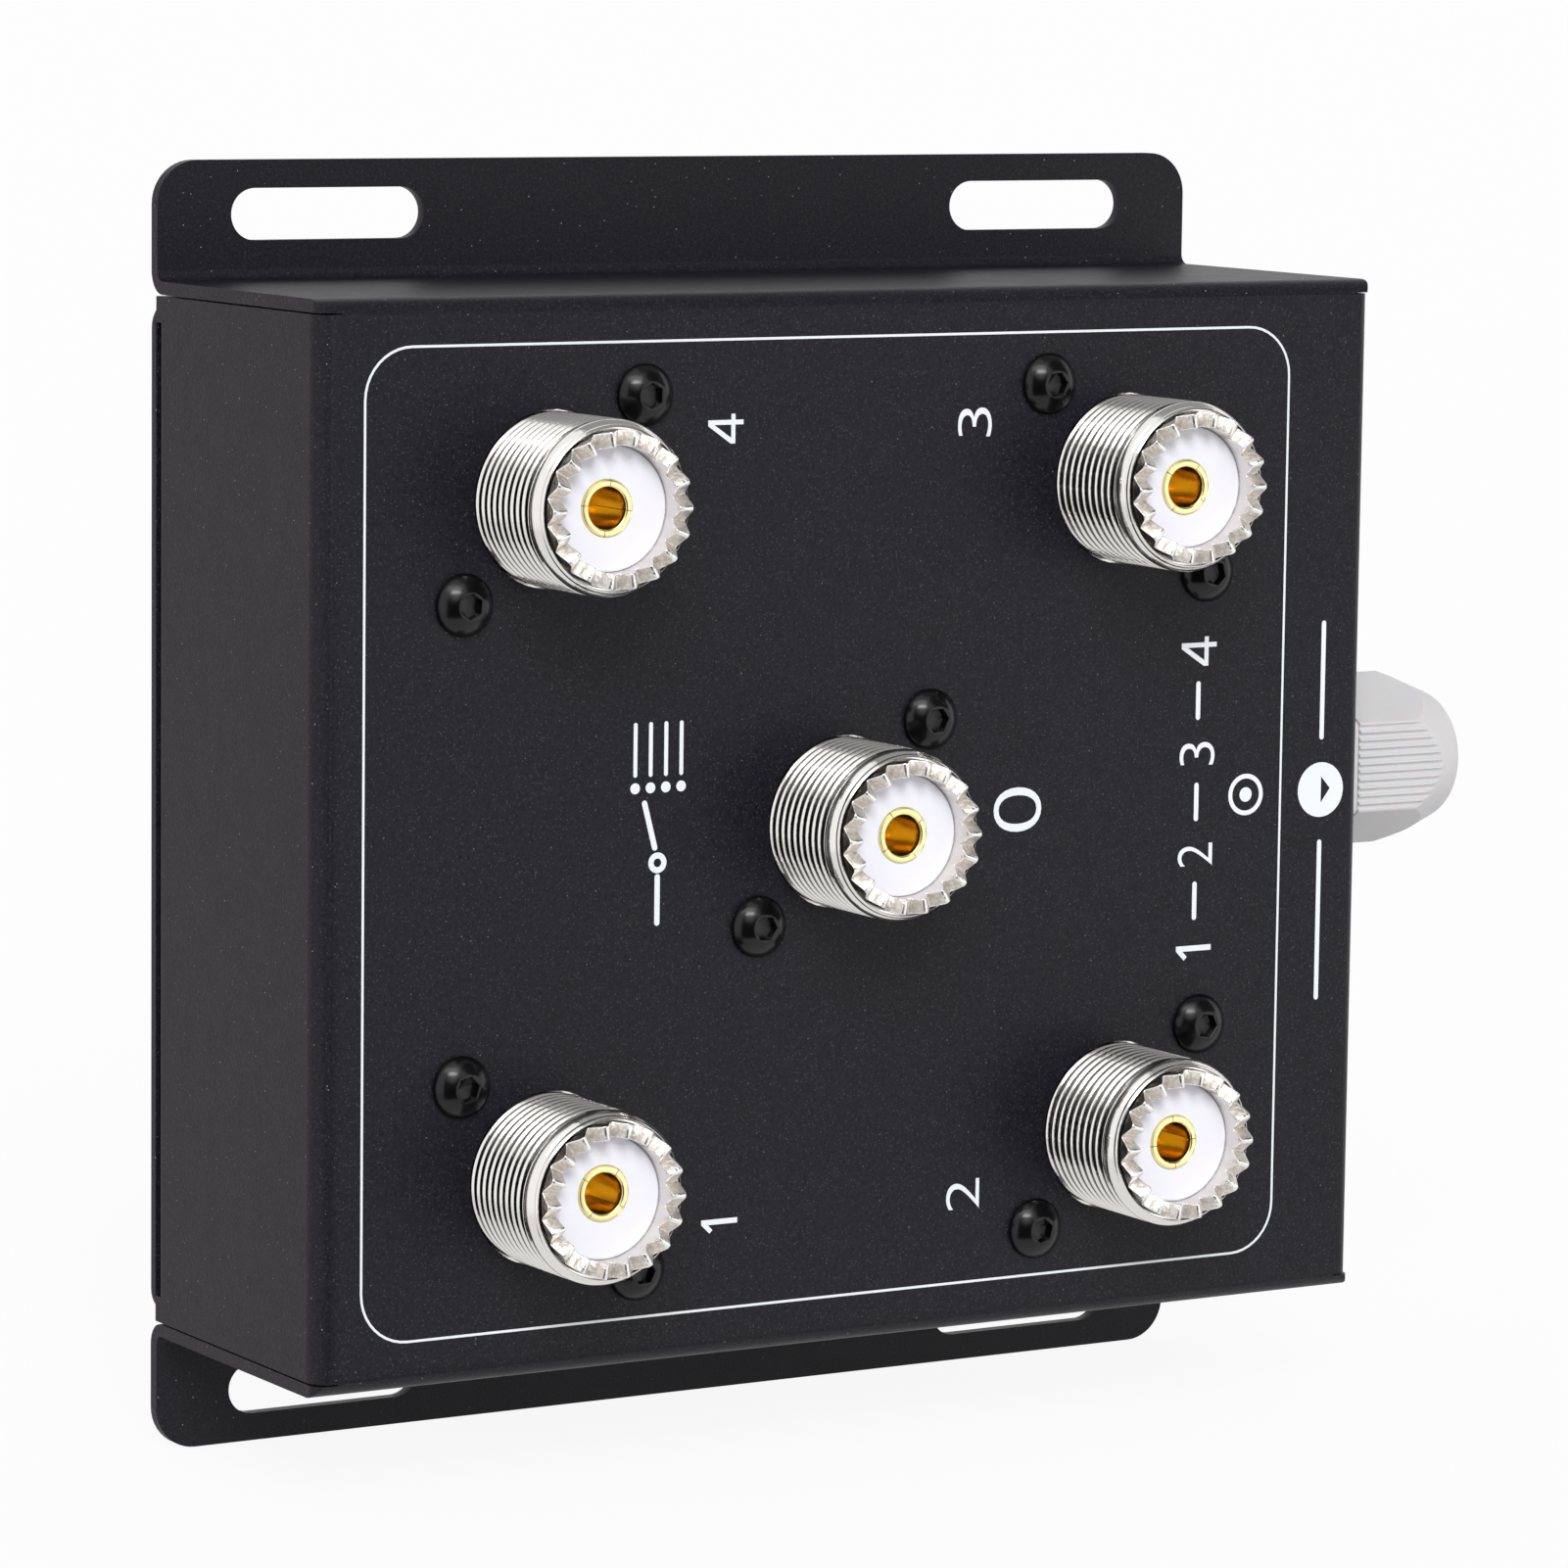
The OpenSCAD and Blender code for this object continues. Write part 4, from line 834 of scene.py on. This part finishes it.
# Beside the cable entry: a disc with an arrow cut out of it, and a bar on each side
DISC_AT, DISC_R = (51.45, 0.1), 2.65
ARROW = ((51.5, 1.38), (51.5, -1.18), (52.55, 0.2))
CABLE_BARS = (((51.45, -20.1), (51.45, -5.0)), ((51.45, 5.2), (51.45, 16.2)))
BAR_W, SWITCH_LINE, SWITCH_LEAD_W = 0.5, 0.55, 0.4
SWITCH_FOOT_X, SWITCH_LEFT_Z = -19.4, -8.1

# The figures 1 and 4 as outlines, and the hole in the 4, in shares of their width and height
FIGURES = {
    "1": (((0.615, 0.0), (1.0, 0.0), (1.0, 1.0), (0.655, 1.0), (0.0, 0.77), (0.245, 0.685), (0.615, 0.815)),),
    "4": (((0.637, 0.0), (0.80, 0.0), (0.80, 0.23), (1.0, 0.23), (1.0, 0.345), (0.80, 0.345), (0.80, 1.0),
           (0.60, 1.0), (0.0, 0.36), (0.0, 0.23), (0.637, 0.23)),
          ((0.19, 0.345), (0.637, 0.345), (0.637, 0.825))),
}


def printed(*loops):
    """A film of print cut to loops of (x, z) points."""
    return flat_cut(loops, PRINT_LOW, PRINT_HIGH)


def numeral(sign, foot_x, left_z, width, height):
    """A printed number whose top points to the left."""
    if sign in FIGURES:
        return printed(*([(foot_x - y * height, left_z + x * width) for x, y in outline]
                         for outline in FIGURES[sign]))
    curve = bpy.data.curves.new("sign", "FONT")
    curve.body = sign
    curve.extrude = 0.5
    curve.offset = -0.012    # thins the strokes
    curve.resolution_u = 6
    mesh = taken_from(curve)
    xs, ys, zs = zip(*(v.co for v in mesh.vertices))
    wide, tall = width / (max(xs) - min(xs)), height / (max(zs) - min(zs))
    for v in mesh.vertices:
        x, y, z = v.co
        v.co = Vector((foot_x - (z - min(zs)) * tall,
                       PRINT_LOW if y < 0 else PRINT_HIGH,
                       left_z + (x - min(xs)) * wide)) * MM
    return mesh


def bar(start, end, width):
    """A line with round ends, as a loop of points."""
    along = Vector(end) - Vector(start)
    turn = math.degrees(math.atan2(along.y, along.x))
    half = width / 2
    return arc(*end, half, turn - 90, turn + 90, 8) + arc(*start, half, turn + 90, turn + 270, 8)


def ring(x, z, radius, line):
    return [circle(x, z, radius), circle(x, z, radius - line)]


def switch_symbol():
    """A one-to-four switch: a lead, its arm, and four contacts with leads."""
    def at(along, up):
        """A place along the print and up from its foot."""
        return SWITCH_FOOT_X - up, SWITCH_LEFT_Z + along

    loops = [bar(at(0, 2.7), at(4.2, 2.7), SWITCH_LINE), *ring(*at(5.5, 2.7), 0.95, SWITCH_LINE),
             bar(at(6.9, 3.0), at(11.0, 4.1), SWITCH_LINE)]
    for k in range(4):
        up = 0.3 + 1.6 * k
        loops += [circle(*at(12.4, up), 0.5), bar(at(13.6, up), at(18.2, up), SWITCH_LEAD_W)]
    return loops


def make_print():
    frame_line = [rounded_box(FRAME_LEFT + inset, FRAME_RIGHT - inset, FRAME_LOW + inset,
                              FRAME_HIGH - inset, FRAME_CORNER - inset) for inset in (0, FRAME_W)]
    row = [numeral(sign, ROW_FOOT_X, z, width, ROW_H) for sign, (z, width) in ROW.items()]
    row_bars = [bar((ROW_BAR_X, z), (ROW_BAR_X, z + ROW_BAR_L), BAR_W) for z in ROW_BARS]
    marks = {
        "print_frame_line": [printed(*frame_line)],
        "print_numbers": [numeral(sign, *place) for sign, place in NUMBERS.items()],
        "print_feed_number": [numeral("0", *FEED_NUMBER)],
        "print_switch_symbol": [printed(*switch_symbol())],
        "print_number_row": [*row, printed(*row_bars)],
        "print_socket_symbol": [printed(*ring(*SYMBOL_AT, SYMBOL_R, SYMBOL_LINE),
                                        circle(*SYMBOL_AT, SYMBOL_DOT_R))],
        "print_cable_mark": [printed(circle(*DISC_AT, DISC_R, steps=48), ARROW)],
        "print_cable_lines": [printed(*(bar(*ends, BAR_W) for ends in CABLE_BARS))],
    }
    for name, meshes in marks.items():
        mesh = join_meshes(name, [(part, (0, 0, 0)) for part in meshes])
        new_piece(name, mesh, PRINT_WHITE)


# ---- Stage ----

# In metres. The floor lies just under the lower flange.
FLOOR_Z, FLOOR_SIZE = -0.0601, 60
FLOOR_GLOW_SHARE = 0.92
SKY_STRENGTH = 0.45
SUN_STRENGTH, SUN_SIZE_DEG, SUN_TOWARD = 2.3, 28, (0.35, 0.75, -0.56)

# Cards: direction from the middle, distance, width and height in metres, radiance and tint
CARDS = {
    "front_dark": ((-0.42, -0.89, -0.17), 0.9, 0.95, 1.8, 0.015),
    "upper_dark": ((0.60, -0.50, 0.62), 0.9, 0.8, 0.75, 0.10),
    "overhead_grey": ((0.40, 0.05, 0.92), 0.9, 0.9, 0.9, 0.3),
    "left_warm": ((-0.51, 0.85, -0.12), 0.9, 1.5, 1.5, 0.82, (1.0, 0.9, 0.95)),
    "lower_grey": ((0.1, -0.1, -1.0), 0.6, 4, 4, 0.8),
    "front_white": ((0.56, -0.82, -0.05), 0.9, 0.45, 0.6, 1.3),
    "softbox": ((-0.36, -0.50, 0.79), 1.5, 1.2, 0.45, 3.0),
}


def seen_rays(n):
    """1 for rays from the camera, and for those that gloss and glass pass on."""
    path = n.add("LightPath")
    seen = n.math("MAXIMUM", path.outputs["Is Camera Ray"], path.outputs["Is Glossy Ray"])
    return n.math("MAXIMUM", seen, path.outputs["Is Transmission Ray"])


def flat_object(name, width, height, material):
    """A flat rectangle that faces along its own Z."""
    mesh = bpy.data.meshes.new(name)
    bm = bmesh.new()
    bmesh.ops.create_grid(bm, size=0.5)
    bmesh.ops.scale(bm, vec=(width, height, 1), verts=bm.verts)
    bm.to_mesh(mesh)
    bm.free()
    mesh.materials.append(material)
    piece = bpy.data.objects.new(name, mesh)
    bpy.context.collection.objects.link(piece)
    return piece


def floor_material():
    """Pale floor that shows near white, and keeps the object's shadow."""
    material = bpy.data.materials.new("floor")
    material.use_nodes = True
    tree = material.node_tree
    n = Nodes(tree)
    bsdf = tree.nodes["Principled BSDF"]
    n.put(bsdf, "Base Color", (0.9, 0.9, 0.9, 1))
    n.put(bsdf, "Roughness", 0.9)
    glow = n.add("Emission", strength=1.0)
    n.put(glow, "Color", (1, 1, 1, 1))
    both = n.add("MixShader")
    n.put(both, 0, n.math("MULTIPLY", seen_rays(n), FLOOR_GLOW_SHARE))
    n.put(both, 1, bsdf.outputs[0])
    n.put(both, 2, glow.outputs[0])
    n.put(tree.nodes["Material Output"], "Surface", both.outputs[0])
    return material


def make_floor():
    floor = flat_object("floor", FLOOR_SIZE, FLOOR_SIZE, floor_material())
    floor.location.z = FLOOR_Z
    floor.visible_glossy = False


def make_card(name, toward, distance, width, height, radiance, tint=(1, 1, 1)):
    """A card of even brightness that faces the object, and that only reflections see."""
    material = bpy.data.materials.new(name)
    material.use_nodes = True
    n = Nodes(material.node_tree)
    glow = n.add("Emission", strength=radiance)
    n.put(glow, "Color", (*tint, 1))
    n.put(material.node_tree.nodes["Material Output"], "Surface", glow.outputs[0])
    card = flat_object(name, width, height, material)
    direction = Vector(toward).normalized()
    card.location = direction * distance
    card.rotation_euler = direction.to_track_quat("Z", "Y").to_euler()
    card.visible_camera = card.visible_diffuse = card.visible_shadow = False


def make_world():
    """A white world that gives less light than the camera and mirrors see in it."""
    world = bpy.data.worlds.new("studio")
    bpy.context.scene.world = world
    world.use_nodes = True
    n = Nodes(world.node_tree)
    sky = world.node_tree.nodes["Background"]
    n.put(sky, "Color", (1, 1, 1, 1))
    n.put(sky, "Strength", n.span(seen_rays(n), 0.0, 1.0, SKY_STRENGTH, 1.0))


def make_sun():
    data = bpy.data.lights.new("sun", "SUN")
    data.energy, data.angle = SUN_STRENGTH, math.radians(SUN_SIZE_DEG)
    sun = bpy.data.objects.new("sun", data)
    sun.rotation_euler = Vector(SUN_TOWARD).to_track_quat("-Z", "Y").to_euler()
    bpy.context.collection.objects.link(sun)


make_camera()
dress_frame()
soften_frame()
make_sockets()
make_screws()
make_print()
make_floor()
for card_name, card_values in CARDS.items():
    make_card(card_name, *card_values)
make_world()
make_sun()
bpy.context.scene.view_settings.view_transform = "Standard"
